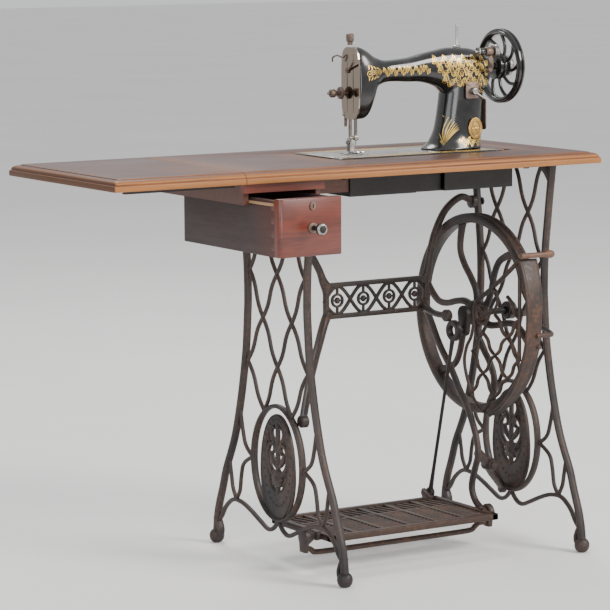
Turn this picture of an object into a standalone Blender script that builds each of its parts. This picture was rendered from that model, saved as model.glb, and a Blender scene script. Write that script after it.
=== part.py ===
"""Treadle sewing machine: cast iron stand, drop-leaf table with one drawer, treadle drive and head.

Lengths are in millimetres in a stand frame (origin on the floor midway between the side frames,
X to the right, Y to the back, Z up) and become metres, centred in plan, when a piece is added.
"""
import math

import bpy
import bmesh
from mathutils import Vector
from mathutils.geometry import delaunay_2d_cdt

MM = 0.001
PLAN_CENTRE = Vector((-197.0, -31.0, 0.0))
GAP = 0.4

# Stand
FRAME_X = 273.8
BAR_HALF, STRAND_HALF, RING_HALF = 7.0, 3.5, 8.0
FRAME_TOP = 752.6
# Table
TABLE_TOP, TABLE_UNDER = 775.0, 753.0
TABLE_DEPTH_HALF = 208.0
TABLE_LEFT, TABLE_RIGHT = -461.5, 336.0
LEAF_LEFT, LEAF_RIGHT = -730.0, -462.5
LEAF_AXIS = (-463.0, 748.6)
WELL = (-184.0, 239.5, -84.0, 97.5)
# Treadle drive
TREADLE_AXIS = (-88.0, 67.0)
CRANK_AXIS = (10.0, 447.0)
CRANK_RADIUS = 31.0
PITMAN_FOOT = (92.0, 78.0)
WHEEL_RADIUS = 198.5
# Head
BED_TOP = 777.5
SHAFT_AXIS = (3.0, 934.0)
NEEDLE = (-94.0, 3.0)
PRESSER_Y = 22.0


# ---------------------------------------------------------------- shapes

def smooth(points, steps=4, closed=False):
    """Points on a Catmull-Rom curve through the given ones."""
    known = [Vector(p) for p in points]
    count = len(known)
    spans = count if closed else count - 1
    result = []
    for i in range(spans):
        if closed:
            a, b, c, d = (known[(i + k - 1) % count] for k in range(4))
        else:
            a, b = known[max(i - 1, 0)], known[i]
            c, d = known[i + 1], known[min(i + 2, count - 1)]
        for k in range(steps):
            t = k / steps
            result.append(0.5 * ((2 * b) + (c - a) * t + (2 * a - 5 * b + 4 * c - d) * t * t
                                 + (3 * b - a - 3 * c + d) * t ** 3))
    if not closed:
        result.append(known[-1])
    return result


def stroke(points, width, closed=False):
    """Quads of a band of this width along a 2D line."""
    line = [Vector(p) for p in points]
    count = len(line)
    sides = []
    for i, here in enumerate(line):
        before = line[i - 1] if closed or i else here
        after = line[(i + 1) % count] if closed or i < count - 1 else here
        along = (after - before).normalized()
        across = Vector((-along.y, along.x)) * width / 2
        sides.append((here + across, here - across))
    last = count if closed else count - 1
    quads = []
    for i in range(last):
        (a, b), (c, d) = sides[i], sides[(i + 1) % count]
        quads.append((b, d, c, a))
    return quads


def ellipse(centre, half_u, half_v, count=32, start=0.0, turn=360.0):
    """Points round an ellipse, or along a part of it."""
    steps = count if turn == 360.0 else count + 1
    angles = [math.radians(start + turn * k / count) for k in range(steps)]
    return [(centre[0] + half_u * math.cos(a), centre[1] + half_v * math.sin(a)) for a in angles]


def band(inner, outer):
    """Quads between two closed loops with as many points each."""
    count = len(inner)
    return [(inner[i], outer[i], outer[(i + 1) % count], inner[(i + 1) % count]) for i in range(count)]


def to_yz(u, v, w):
    return (w, u, v)


def to_xz(u, v, w):
    return (u, -w, v)


def to_xy(u, v, w):
    return (u, v, w)


def flat_casting(layers, place, centre=0.0):
    """Closed mesh of a flat casting.

    layers holds (half depth, polygons); where polygons overlap, the deepest one wins.
    """
    points, loops, depths = [], [], []
    for half, polygons in layers:
        for polygon in polygons:
            corners = [Vector(p[:2]) for p in polygon]
            area = sum(a.x * b.y - b.x * a.y for a, b in zip(corners, corners[1:] + corners[:1]))
            if area < 0:
                corners.reverse()
            loops.append(list(range(len(points), len(points) + len(corners))))
            points += corners
            depths.append(half)
    spots, _, faces, _, _, sources = delaunay_2d_cdt(points, [], loops, 1, 1e-3)
    filled = [(face, max(depths[s] for s in source)) for face, source in zip(faces, sources) if source]
    levels, left = {}, {}
    for face, top in filled:
        for k, spot in enumerate(face):
            levels.setdefault(spot, set()).update((top, -top))
            left[spot, face[(k + 1) % len(face)]] = top
    bm = bmesh.new()
    made = {}

    def vertex(spot, level):
        key = (spot, level)
        if key not in made:
            made[key] = bm.verts.new(place(spots[spot].x, spots[spot].y, centre + level))
        return made[key]

    def between(spot, low, high):
        return sorted(z for z in levels[spot] if low < z < high)

    for face, top in filled:
        bm.faces.new([vertex(spot, top) for spot in face])
        bm.faces.new([vertex(spot, -top) for spot in reversed(face)])
    for (a, b), top in left.items():
        other = left.get((b, a), 0)
        if top <= other:
            continue
        walls = [(other, top), (-top, -other)] if other else [(-top, top)]
        for low, high in walls:
            down = [high] + between(a, low, high)[::-1] + [low]
            up = [low] + between(b, low, high) + [high]
            bm.faces.new([vertex(a, z) for z in down] + [vertex(b, z) for z in up])
    return bm


def skin(rings, closed=False):
    """Closed mesh through rings with as many points each; capped unless the rings close up."""
    bm = bmesh.new()
    rows = [[bm.verts.new(p) for p in ring] for ring in rings]
    count = len(rows[0])
    pairs = list(zip(rows, rows[1:])) + ([(rows[-1], rows[0])] if closed else [])
    for low, high in pairs:
        for k in range(count):
            bm.faces.new((low[k], low[(k + 1) % count], high[(k + 1) % count], high[k]))
    if not closed:
        bm.faces.new(rows[0][::-1])
        bm.faces.new(rows[-1])
    bmesh.ops.recalc_face_normals(bm, faces=bm.faces)
    return bm


def box(low, high):
    (x0, y0, z0), (x1, y1, z1) = low, high
    return skin([[(x0, y0, z), (x1, y0, z), (x1, y1, z), (x0, y1, z)] for z in (z0, z1)])


def prism(outline, place, low, high):
    return skin([[place(u, v, w) for u, v in outline] for w in (low, high)])


def turned(profile, axis, centre, sides=16, closed=False):
    """Solid of revolution: profile is (radius, position along the axis), centre a point on the axis."""
    rings = []
    for radius, along in profile:
        ring = []
        for k in range(sides):
            a = 2 * math.pi * k / sides
            u, v = radius * math.cos(a), radius * math.sin(a)
            ring.append({"X": (along, centre[0] + u, centre[1] + v),
                         "Y": (centre[0] + u, along, centre[1] + v),
                         "Z": (centre[0] + u, centre[1] + v, along)}[axis])
        rings.append(ring)
    return skin(rings, closed)


def cylinder(radius, axis, centre, low, high, sides=16):
    return turned([(radius, low), (radius, high)], axis, centre, sides)


def tube(points, radii, sides=8, steps=4):
    """Round bar along a smooth 3D line; radii is one number or one for each given point."""
    if not isinstance(radii, (list, tuple)):
        radii = [radii] * len(points)
    line = smooth(points, steps)
    sizes = [v.x for v in smooth([(r, 0.0) for r in radii], steps)]
    normal = Vector((0.0, 0.0, 1.0))
    first = (line[1] - line[0]).normalized()
    if abs(first.z) > 0.9:
        normal = Vector((0.0, 1.0, 0.0))
    rings = []
    for i, here in enumerate(line):
        along = (line[min(i + 1, len(line) - 1)] - line[max(i - 1, 0)]).normalized()
        normal = (normal - along * normal.dot(along)).normalized()
        across = along.cross(normal)
        rings.append([here + sizes[i] * (normal * math.cos(a) + across * math.sin(a))
                      for a in (2 * math.pi * k / sides for k in range(sides))])
    return skin(rings)


def oval(centre, half_a, half_b, count=16, power=2.6):
    """(a, b) points round a rounded rectangle."""
    points = []
    for k in range(count):
        t = 2 * math.pi * (k + 0.5) / count
        c, s = math.cos(t), math.sin(t)
        points.append((centre[0] + half_a * math.copysign(abs(c) ** (2 / power), c),
                       centre[1] + half_b * math.copysign(abs(s) ** (2 / power), s)))
    return points


# ---------------------------------------------------------------- objects

MATERIALS = {}


def material(name, colour, roughness, metallic=0.0):
    made = bpy.data.materials.new(name)
    made.use_nodes = True
    shader = made.node_tree.nodes["Principled BSDF"]
    shader.inputs["Base Color"].default_value = (*colour, 1.0)
    shader.inputs["Roughness"].default_value = roughness
    shader.inputs["Metallic"].default_value = metallic
    MATERIALS[name] = made


def mesh_object(name, bm, origin=(0.0, 0.0, 0.0), scale=1.0):
    mesh = bpy.data.meshes.new(name)
    bm.to_mesh(mesh)
    bm.free()
    for vertex in mesh.vertices:
        vertex.co = (vertex.co - Vector(origin)) * scale
    obj = bpy.data.objects.new(name, mesh)
    bpy.context.scene.collection.objects.link(obj)
    return obj


def combine(base, tools, operation="UNION"):
    """Base with each tool joined to it or cut from it."""
    for tool in tools:
        target, helper = mesh_object("target", base), mesh_object("helper", tool)
        modifier = target.modifiers.new("combine", "BOOLEAN")
        modifier.operation = operation
        modifier.object = helper
        graph = bpy.context.evaluated_depsgraph_get()
        evaluated = target.evaluated_get(graph)
        base = bmesh.new()
        base.from_mesh(evaluated.to_mesh())
        evaluated.to_mesh_clear()
        for obj in (target, helper):
            bpy.data.objects.remove(obj)
    return base


def add(name, bm, material_name, pivot=(0.0, 0.0, 0.0)):
    """Named piece whose origin is its pivot."""
    obj = mesh_object(name, bm, pivot, MM)
    obj.location = (Vector(pivot) - PLAN_CENTRE) * MM
    obj.data.materials.append(MATERIALS[material_name])
    obj.data.shade_smooth()
    obj.data.set_sharp_from_angle(angle=math.radians(35))
    return obj


# ---------------------------------------------------------------- side frames

BAR_LINE = [(131, 748), (121, 678), (116, 638), (111, 600), (107, 555), (106, 500), (108, 470), (112, 420),
            (117, 385), (126, 340), (136, 298), (153, 240), (170, 200), (193, 156), (207, 117), (222, 80),
            (230, 50), (234, 17)]
APRON_LINE = [(227, 44), (212, 58), (196, 79), (167, 97), (132, 96), (98, 85), (65, 71), (38, 61), (18, 66), (0, 83)]
CROSSING_ROWS = (750, 648, 558, 470, 380, 290)
FOOT = 234.0


def strand(knots, steps=3, swing=0.45):
    """Lattice strand through knots: it crosses at a slope and runs steep between them."""
    points = []
    for (y0, z0), (y1, z1) in zip(knots, knots[1:]):
        for k in range(steps):
            s = k / steps
            side = s + swing * math.sin(2 * math.pi * s) / (2 * math.pi)
            points.append((y0 + (y1 - y0) * side, z0 + (z1 - z0) * s))
    points.append(knots[-1])
    return points


def lattice_strands():
    top, r1, r2, r3, r4, r5 = CROSSING_ROWS
    falling = [(100, top), (52, r1), (0, r2), (-52, r3), (-109, r4)]
    weaving = [(0, top), (52, r1), (99, r2), (52, r3), (0, r4), (-50, r5)]
    closing = [(109, r4), (50, r5)]
    lower = [[(139, 280), (130, 240), (119, 212), (92, 194)],
             [(92, 194), (127, 175), (137, 150), (143, 119), (157, 99)],
             [(181, 172), (175, 144), (170, 121), (157, 99)]]
    lines = [strand(knots) for knots in (falling, weaving, closing)]
    lines += [[tuple(p) for p in smooth(knots, 2)] for knots in lower]
    return lines


def medallion():
    """Oval panel in the ring: a pierced border and a symmetrical leaf ornament over a rosette."""
    border = band(ellipse((0, 205), 40, 66, 20), ellipse((0, 187), 58, 102, 20))
    leaves = []
    for side in (1, -1):
        leaf = [(0, 150), (16, 176), (34, 196), (34, 220), (18, 234), (8, 222)]
        bud = [(0, 214), (12, 236), (22, 252), (12, 270)]
        for line, width in ((leaf, 6), (bud, 6)):
            leaves += stroke([(side * y, z) for y, z in line], width)
    leaves += stroke([(0, 134), (0, 276)], 8)
    rosette = [ellipse((0, 166), 21, 21, 10)]
    return border, leaves, rosette


def side_frame(inward, extra):
    """One side frame; inward is +1 on the left frame and -1 on the right one."""
    border, leaves, rosette = medallion()
    bars, strands = [], []
    for side in (1, -1):
        bars += stroke([(side * y, z) for y, z in BAR_LINE], 12)
        strands += stroke([(side * y, z) for y, z in APRON_LINE], 8)
        bars.append([(side * y, z) for y, z in ((70, 750), (130, 750), (124, 712), (112, 724), (90, 739))])
        for line in lattice_strands():
            strands += stroke([(side * y, z) for y, z in line], 7)
    ring = stroke(ellipse((0, 195), 88, 110, 24), 8, closed=True)
    layers = [(BAR_HALF, bars), (STRAND_HALF, strands), (RING_HALF, ring),
              (4.5, border), (3.0, leaves), (5.5, rosette)] + extra
    frame = flat_casting(layers, to_yz, -inward * FRAME_X)
    x = -inward * FRAME_X
    flange = [(x - inward * 14, -150), (x + inward * 80, -150), (x + inward * 80, -120), (x + inward * 14, -120),
              (x + inward * 14, 120), (x + inward * 80, 120), (x + inward * 80, 150), (x - inward * 14, 150)]
    pieces = [prism(flange, to_xy, 746.4, FRAME_TOP)]
    foot = [(6.6, 0), (12.6, 5), (15, 14), (12.4, 22.5), (6, 26.8)]
    for side in (1, -1):
        pieces.append(turned(foot, "Z", (x, side * FOOT), 12))
    return frame, pieces


def left_side_frame():
    frame, pieces = side_frame(1, [])
    y, z = TREADLE_AXIS
    inner = -FRAME_X + STRAND_HALF
    pieces.append(turned([(16, inner - 5), (16, inner + 4), (13, inner + 8), (7, -250)], "X", (y, z), 16))
    pieces.append(box((inner - 5, y - 9, 38), (inner + 3.5, y + 9, z)))
    add("left_side_frame", combine(frame, pieces), "cast_iron")


def right_side_frame():
    y, z = CRANK_AXIS
    bearing = band(ellipse((y, z), 8, 8, 20), ellipse((y, z), 18, 18, 20))
    webs = [[(-40, z - 7), (y - 12, z - 7), (y - 12, z + 7), (-40, z + 7)],
            [(y + 12, z - 7), (40, z - 7), (40, z + 7), (y + 12, z + 7)]]
    frame, pieces = side_frame(-1, [(10, bearing), (5, webs)])
    add("right_side_frame", combine(frame, pieces), "cast_iron")


# ---------------------------------------------------------------- brace, cross rod, bolts

PLATE = (-96.0, 148.0, 444.0, 515.0)
BRACE_Y = 115.0


def fretwork():
    """Interlaced waves with round eyes, which fill the brace's plate."""
    left, right, low, high = PLATE
    middle, swing = (low + high) / 2, (high - low) / 2 - 8
    waves = 4
    lines = []
    for phase in (0.0, math.pi):
        lines.append([(left + (right - left) * k / 24,
                       middle + swing * math.sin(phase + waves * math.pi * k / 24)) for k in range(25)])
    quads = [quad for line in lines for quad in stroke(line, 7)]
    for k in range(waves):
        centre = left + (right - left) * (k + 0.5) / waves
        quads += stroke(ellipse((centre, middle), 12, 12, 8), 5, closed=True)
        quads += stroke([(centre, middle + 11), (centre, high - 5)], 5)
        quads += stroke([(centre, middle - 11), (centre, low + 5)], 5)
    return quads


def cross_brace():
    left, right, low, high = PLATE
    rim = band([(left + 9, low + 9), (right - 9, low + 9), (right - 9, high - 9), (left + 9, high - 9)],
               [(left, low), (right, low), (right, high), (left, high)])
    arms = stroke(smooth([(146, 508), (152, 545), (164, 595), (192, 643), (228, 668), (252, 659), (262, 656)], 2), 14)
    arms += stroke(smooth([(-94, 508), (-106, 538), (-130, 580), (-170, 628), (-215, 653), (-262, 656)], 2), 14)
    plate = flat_casting([(6, rim), (3.5, fretwork()), (6.5, arms)], to_xz, -BRACE_Y)
    lug = [cylinder(13, "X", (BRACE_Y + 3, 656), low_x, high_x, 12)
           for low_x, high_x in ((-266.4, -256), (256, 266.4))]
    lower_left = tube([(-90, 115, 450), (-104, 108, 424), (-140, 75, 384), (-190, 20, 340), (-235, -35, 302),
                       (-256, -62, 286)], [8, 8, 7.5, 7, 7, 7], 8, 2)
    left_lug = cylinder(12, "X", (-65, 284), -265.4, -250, 12)
    hanger = [(112, 436), (107, 421), (79, 378), (37, 333), (9, 296), (-15, 270), (-32, 242), (-49, 205), (-54, 176),
              (-38, 142), (-30, 108), (-44, 80), (-75, 60)]
    y, z = TREADLE_AXIS
    boss = band(ellipse((y, z), 8.5, 8.5, 16), ellipse((y, z), 17, 17, 16))
    foot = [[(y - 9, 38), (y + 9, 38), (y + 9, z - 12), (y - 9, z - 12)]]
    hanger = flat_casting([(5.5, stroke(hanger, 13)), (6, boss + foot)], to_yz, 154)
    hanger_top = tube([(144, 116, 450), (150, 115, 440), (154, 110, 425)], [8, 8, 6], 8, 2)
    branch = tube([(155, -52, 178), (180, -38, 160), (215, -16, 128), (258, 9, 90)], [8, 8.5, 8, 7], 8, 2)
    branch_end = cylinder(10, "X", (10, 88), 254, 265.4, 10)
    branch_boss = cylinder(13, "Y", (196, 150), -46, -20, 12)
    hook = tube([(138, 113, 458), (132, 92, 451), (126, 66, 448), (125, 40, 446), (125, 16, 447)],
                [8, 6.5, 6, 6, 6], 8, 2)
    hook_boss = cylinder(12, "X", (12, 447), 118, 131.5, 14)
    pieces = lug + [lower_left, left_lug, hanger_top, hanger, branch, branch_end, branch_boss, hook,
              hook_boss]
    add("cross_brace", combine(plate, pieces), "cast_iron")


def brace_bolts():
    for name, side in (("left", -1), ("right", 1)):
        outer = side * (FRAME_X + BAR_HALF + GAP)
        head = turned([(9, outer), (9, outer + side * 4), (5, outer + side * 6.5)], "X", (BRACE_Y + 3, 656), 6)
        add(f"brace_bolt_{name}", head, "dark_iron")


def treadle_cross_rod():
    y = TREADLE_AXIS[0]
    frame_face = -FRAME_X + STRAND_HALF + 3.5 + GAP
    points = [(frame_face, y, 44), (frame_face + 6, y, 44), (frame_face + 13, y, 40), (frame_face + 20, y, 36),
              (-200, y, 35), (0, y, 35), (112, y, 36), (122, y, 42), (132, y, 48), (148 - GAP, y, 48)]
    add("treadle_cross_rod", tube(points, 5.5, 8, 1), "cast_iron")


# ---------------------------------------------------------------- wheel guard

GUARD_FROM, GUARD_TO = 147.4, 241.6


def guard_radius(angle):
    """Distance of the shield from the crank axis: it draws in towards its lower end."""
    return 237 - 25 * (angle - GUARD_FROM) / (GUARD_TO - GUARD_FROM)


def guard_arc(offset, steps=16):
    y, z = CRANK_AXIS
    points = []
    for k in range(steps + 1):
        angle = GUARD_FROM + (GUARD_TO - GUARD_FROM) * k / steps
        radius = guard_radius(angle) + offset
        points.append((y + radius * math.cos(math.radians(angle)), z + radius * math.sin(math.radians(angle))))
    return points


def guard_net():
    """Scallops between the shield and the free edge: each strand swings between two columns."""
    columns = (-34, -70, -110, -150, -190, -222)
    rows = (540, 500, 460, 420, 380, 340, 300, 268)
    spans = ((3, 6), (3, 7), (2, 7), (1, 7), (0, 6))
    quads = []
    for i, (first, last) in enumerate(spans):
        knots = [(columns[i + (r + i) % 2], rows[r]) for r in range(first, last + 1)]
        knots = [(y, z) for y, z in knots
                 if math.hypot(y - CRANK_AXIS[0], z - CRANK_AXIS[1]) < 226]
        quads += stroke(strand(knots, 3, 0.6), 6)
    return quads


def guard_shield():
    """Flared plate beside the wheel's rim: it narrows from its top to the middle."""
    plate = prism(guard_arc(2) + guard_arc(-2)[::-1], to_yz, 150, 193)
    taper = prism([(195, 590), (176, 450), (176, 200), (230, 200), (230, 590)], to_xz, 20, 300)
    return combine(plate, [taper], "DIFFERENCE")


def wheel_guard():
    edge = stroke(guard_arc(-2.5), 7)
    bar = stroke([(-189, 575), (-60, 487)], 8)
    scroll = stroke(ellipse((-66, 456), 19, 19, 14), 7, closed=True)
    scroll += stroke(smooth([(-60, 489), (-46, 478), (-38, 462), (-38, 435), (-30, 408), (-14, 384), (-8, 350),
                             (-29, 301), (-58, 270), (-92, 261)], 3), 7)
    scroll += stroke(smooth([(-85, 456), (-104, 466), (-118, 486), (-112, 510), (-92, 509)], 3), 6)
    lattice = flat_casting([(3, edge + scroll + guard_net()), (4, bar)], to_yz, 153.5)
    link = tube([(168, -219, 430), (190, -218, 430), (214, -211, 429), (240, -165, 428), (260, -116, 428)], 5, 6, 2)
    link_end = cylinder(7, "X", (-113, 428), 257, 266.4, 10)
    add("wheel_guard", combine(lattice, [guard_shield(), link, link_end]), "cast_iron")
    stud = turned([(6, 148), (6, 216), (8, 218), (8, 224), (5, 227)], "X", (-199, 583), 10)
    add("guard_stud", stud, "rusty_iron")


# ---------------------------------------------------------------- table

EDGE_PROFILE = [(TABLE_UNDER, 0), (763.2, 0), (764.6, 1.2), (768.5, 3.2), (771.3, 8), (773, 15.5), (774.4, 17),
                (TABLE_TOP, 18.5)]


def top_board(left, right, moulded_left, moulded_right):
    """Board whose front, back and outer end are moulded."""
    rings = []
    for z, inset in EDGE_PROFILE:
        x0 = left + (inset if moulded_left else 0)
        x1 = right - (inset if moulded_right else 0)
        y = TABLE_DEPTH_HALF - inset
        rings.append([(x0, -y, z), (x1, -y, z), (x1, y, z), (x0, y, z)])
    return skin(rings)


def table():
    x0, x1, y0, y1 = WELL
    board = top_board(TABLE_LEFT, TABLE_RIGHT, False, True)
    well = box((x0, y0, TABLE_UNDER - 10), (x1, y1, TABLE_TOP + 10))
    add("table_top", combine(board, [well], "DIFFERENCE"), "mahogany_top")
    leaf = top_board(LEAF_LEFT, LEAF_RIGHT, True, False)
    add("drop_leaf", leaf, "mahogany_top", (LEAF_AXIS[0], 0, LEAF_AXIS[1]))
    batten = box((-703, -196, 748), (-480, -186, TABLE_UNDER - GAP))
    add("leaf_batten", batten, "dark_iron", (LEAF_AXIS[0], 0, LEAF_AXIS[1]))
    flap = box((191.5, y0 + 1, 763), (x1 - 1, y1 - 1, TABLE_TOP))
    slots = [box((203, a, 750), (219, b, 780)) for a, b in ((-72, -48), (50, 74))]
    add("belt_flap", combine(flap, slots, "DIFFERENCE"), "mahogany_top", (x1 - 1, 0, TABLE_TOP))


def leaf_hinges():
    x, z = LEAF_AXIS
    for name, y in (("front", -135), ("back", 135)):
        fixed = combine(box((x + 1, y - 22, 750), (x + 30, y + 22, TABLE_UNDER - GAP)),
                        [cylinder(3, "Y", (x, z), y - 22, y - 0.3, 10)])
        notch = box((x - 4, y, 745), (x + 5, y + 23, 760))
        add(f"leaf_hinge_{name}_fixed", combine(fixed, [notch], "DIFFERENCE"), "dark_iron")
        moving = combine(box((x - 30, y - 22, 750), (x - 1, y + 22, TABLE_UNDER - GAP)),
                         [cylinder(3, "Y", (x, z), y + 0.3, y + 22, 10)])
        notch = box((x - 5, y - 23, 745), (x + 4, y, 760))
        add(f"leaf_hinge_{name}_moving", combine(moving, [notch], "DIFFERENCE"), "dark_iron", (x, 0, z))


def drip_pan():
    """Sheet-metal pan under the head: its front steps back in the middle."""
    top, low, high = TABLE_UNDER - GAP, 709, 712
    outline = [(-186, -120), (-38, -120), (-38, -110), (28, -110), (28, -120), (186, -120), (186, 106), (-186, 106)]
    inner = [(-183, -117), (-35, -117), (-35, -107), (25, -107), (25, -117), (183, -117), (183, 103), (-183, 103)]
    shell = prism(outline, to_xy, low, top)
    add("drip_pan", combine(shell, [prism(inner, to_xy, high, top + 5)], "DIFFERENCE"), "black_paint")
    add("front_rail", box((-258, -116, 718), (-187, -104, top)), "dark_wood")


# ---------------------------------------------------------------- drawer and its case

DRAWER_LEFT, DRAWER_RIGHT = -436.0, -304.0
DRAWER_FRONT, DRAWER_BACK = -275.0, 66.0
DRAWER_LOW, DRAWER_HIGH = 625.0, 730.0


def case():
    top = TABLE_UNDER - GAP
    under_hinges = 749.5
    add("case_front_rail", box((-458, -194, 736), (-289, -178.4, top)), "dark_wood")
    add("case_back_rail", box((-452, 150.4, 713), (-289, 166, under_hinges)), "dark_wood")
    left = [(-452, 713), (-437.2, 713), (-437.2, 716.4), (-441.5, 716.4), (-441.5, under_hinges),
            (-452, under_hinges)]
    right = [(-289, 713), (-289, top), (-298.5, top), (-298.5, 716.4), (-302.8, 716.4), (-302.8, 713)]
    add("case_left_rail", prism(left, to_xz, 178, -150), "dark_wood")
    add("case_right_rail", prism(right, to_xz, 178, -150), "dark_wood")


def drawer():
    x0, x1, y0, y1 = DRAWER_LEFT, DRAWER_RIGHT, DRAWER_FRONT, DRAWER_BACK
    board = 10
    corner = [(x0 + 9 - 9 * math.sin(a), y0 + 9 - 9 * math.cos(a)) for a in (k * math.pi / 10 for k in range(6))]
    front = [(x1, y0 + 17)] + [(x0, y0 + 17)] + corner[::-1] + [(x1 - 2, y0), (x1, y0 + 2)]
    add("drawer_front", prism(front, to_xy, DRAWER_LOW, DRAWER_HIGH), "mahogany_red")
    sides_y = (y0 + 17.4, y1)
    top = DRAWER_HIGH - 3
    for name, low, high in (("left", x0 - 4.6, x0 + board), ("right", x1 - board, x1 + 4.6)):
        board_low, board_high = max(low, x0), min(high, x1)
        side = box((board_low, sides_y[0], DRAWER_LOW), (board_high, sides_y[1], top))
        runner = box((low, sides_y[0] + 1, 717), (high, y1 - 6, 722))
        add(f"drawer_{name}_side", combine(side, [runner]), "drawer_wood")
    inner = (x0 + board + GAP, x1 - board - GAP)
    add("drawer_back", box((inner[0], y1 - board, DRAWER_LOW + 2), (inner[1], y1, top - 8)), "drawer_wood")
    add("drawer_bottom", box((inner[0], sides_y[0], DRAWER_LOW + 4), (inner[1], y1 - board - GAP, DRAWER_LOW + 10)),
        "drawer_wood")
    knob_x, knob_z = -366.0, 676.0
    knob = turned([(9, y0 - GAP), (7.5, y0 - 3), (4.5, y0 - 8), (4.5, y0 - 18), (9, y0 - 23), (11, y0 - 27),
                   (10.5, y0 - 33), (6, y0 - 36)], "Y", (knob_x, knob_z), 16)
    add("drawer_knob", knob, "dark_iron")
    plate = prism(ellipse((knob_x, 716), 6, 8, 14), to_xz, -(y0 - GAP), -(y0 - 2))
    hole = box((knob_x - 1.2, y0 - 5, 711), (knob_x + 1.2, y0 + 5, 719))
    add("drawer_escutcheon", combine(plate, [hole], "DIFFERENCE"), "worn_nickel")


# ---------------------------------------------------------------- treadle drive

TREADLE = (-240.0, 146.0, -133.0, 80.0)


def treadle_grille():
    """Slats of the foot plate: cross bars, lengthwise slats in front and slanting slats behind."""
    left, right, front, back = TREADLE
    bays = 6
    pitch = (right - left - 12) / bays
    quads = []
    for k in range(1, bays):
        x = left + 6 + pitch * k
        quads += stroke([(x, front + 4), (x, back - 4)], 9)
    for k in range(1, 7):
        y = front + 6 + 21 * k
        quads += stroke([(left + 4, y), (right - 4, y)], 8)
    for k in range(bays):
        x = left + 6 + pitch * k
        for a in (0.12, 0.55):
            quads += stroke([(x + pitch * a, back - 4), (x + pitch * (a + 0.36), back - 78)], 8)
    return quads


def treadle():
    left, right, front, back = TREADLE
    y, z = TREADLE_AXIS
    rim = band([(left + 12, front + 12), (right - 12, front + 12), (right - 12, back - 12), (left + 12, back - 12)],
               [(left, front), (right, front), (right, back), (left, back)])
    plate = flat_casting([(6.5, rim), (3, treadle_grille())], to_xy, z)
    foot_y, foot_z = PITMAN_FOOT
    pieces = [cylinder(9, "X", (y, z), -249, left + 4, 14), cylinder(6.5, "X", (y, z), right - 4, 168, 14),
              prism([(back - 8, z - 5), (foot_y + 6, foot_z - 8), (foot_y + 9, foot_z), (foot_y + 5, foot_z + 8),
                     (back - 10, z + 6)], to_yz, 122, 132.5),
              cylinder(4, "X", (foot_y, foot_z), 128, 146.5, 12)]
    add("treadle_plate", combine(plate, pieces), "cast_iron", (0, y, z))


def pitman():
    foot_y, foot_z = PITMAN_FOOT
    y, z = CRANK_AXIS[0], CRANK_AXIS[1] - CRANK_RADIUS
    along = Vector((0, y - foot_y, z - foot_z)).normalized()
    low = Vector((140, foot_y, foot_z)) + along * 8
    high = Vector((140, y, z)) - along * 17
    rod = tube([low, (low + high) / 2, high], [4.5, 3.6, 5], 8, 1)
    eye = turned([(11, 134), (21, 134), (21, 146), (11, 146)], "X", (y, z), 20, closed=True)
    foot = turned([(5.2, 135), (10.5, 135), (10.5, 145), (5.2, 145)], "X", (foot_y, foot_z), 16, closed=True)
    add("pitman_rod", combine(rod, [eye, foot]), "dark_iron", (0, foot_y, foot_z))


def flywheel():
    y, z = CRANK_AXIS
    rim = turned([(179, 186), (190, 182), (WHEEL_RADIUS, 186), (WHEEL_RADIUS, 206), (190, 210), (179, 206)], "X",
                 CRANK_AXIS, 36, closed=True)
    spokes = []
    spoke_line = ((16, 0), (45, -10), (72, -22), (102, -30), (130, -31), (153, -27), (184, -21))
    for k in range(6):
        points = []
        for radius, bend in spoke_line:
            angle = math.radians(95 + 60 * k + bend)
            points.append((196, y + radius * math.cos(angle), z + radius * math.sin(angle)))
        spokes.append(tube(points, [8, 7.5, 7, 7, 7, 7, 8], 6, 1))
    hub = turned([(7, 183), (24, 183), (26, 188), (26, 204), (22, 209), (7, 209)], "X", CRANK_AXIS, 20, closed=True)
    bore = cylinder(7, "X", CRANK_AXIS, 170, 220, 20)
    wheel = combine(combine(rim, spokes + [hub]), [bore], "DIFFERENCE")
    add("flywheel", wheel, "cast_iron", (0, y, z))


def crank_shaft():
    y, z = CRANK_AXIS
    shaft = cylinder(6.4, "X", CRANK_AXIS, 162, 281, 16)
    arm = prism(ellipse((y, z), 17, 17, 10, 0, 180) + ellipse((y, z - CRANK_RADIUS), 13, 13, 10, 180, 180),
                to_yz, 160, 171)
    pin = cylinder(7, "X", (y, z - CRANK_RADIUS), 147, 165, 12)
    add("crank_shaft", combine(shaft, [arm, pin]), "steel", (0, y, z))


# ---------------------------------------------------------------- head

BED = (-182.0, 189.0, -82.0, 96.0)


def rounded(x0, x1, y0, y1, radius, steps=4):
    """Outline of a rectangle with round corners."""
    points = []
    for cx, cy, start in ((x1, y1, 0), (x0, y1, 90), (x0, y0, 180), (x1, y0, 270)):
        centre = (cx - math.copysign(radius, cx - (x0 + x1) / 2), cy - math.copysign(radius, cy - (y0 + y1) / 2))
        points += ellipse(centre, radius, radius, steps, start, 90)
    return points


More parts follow.
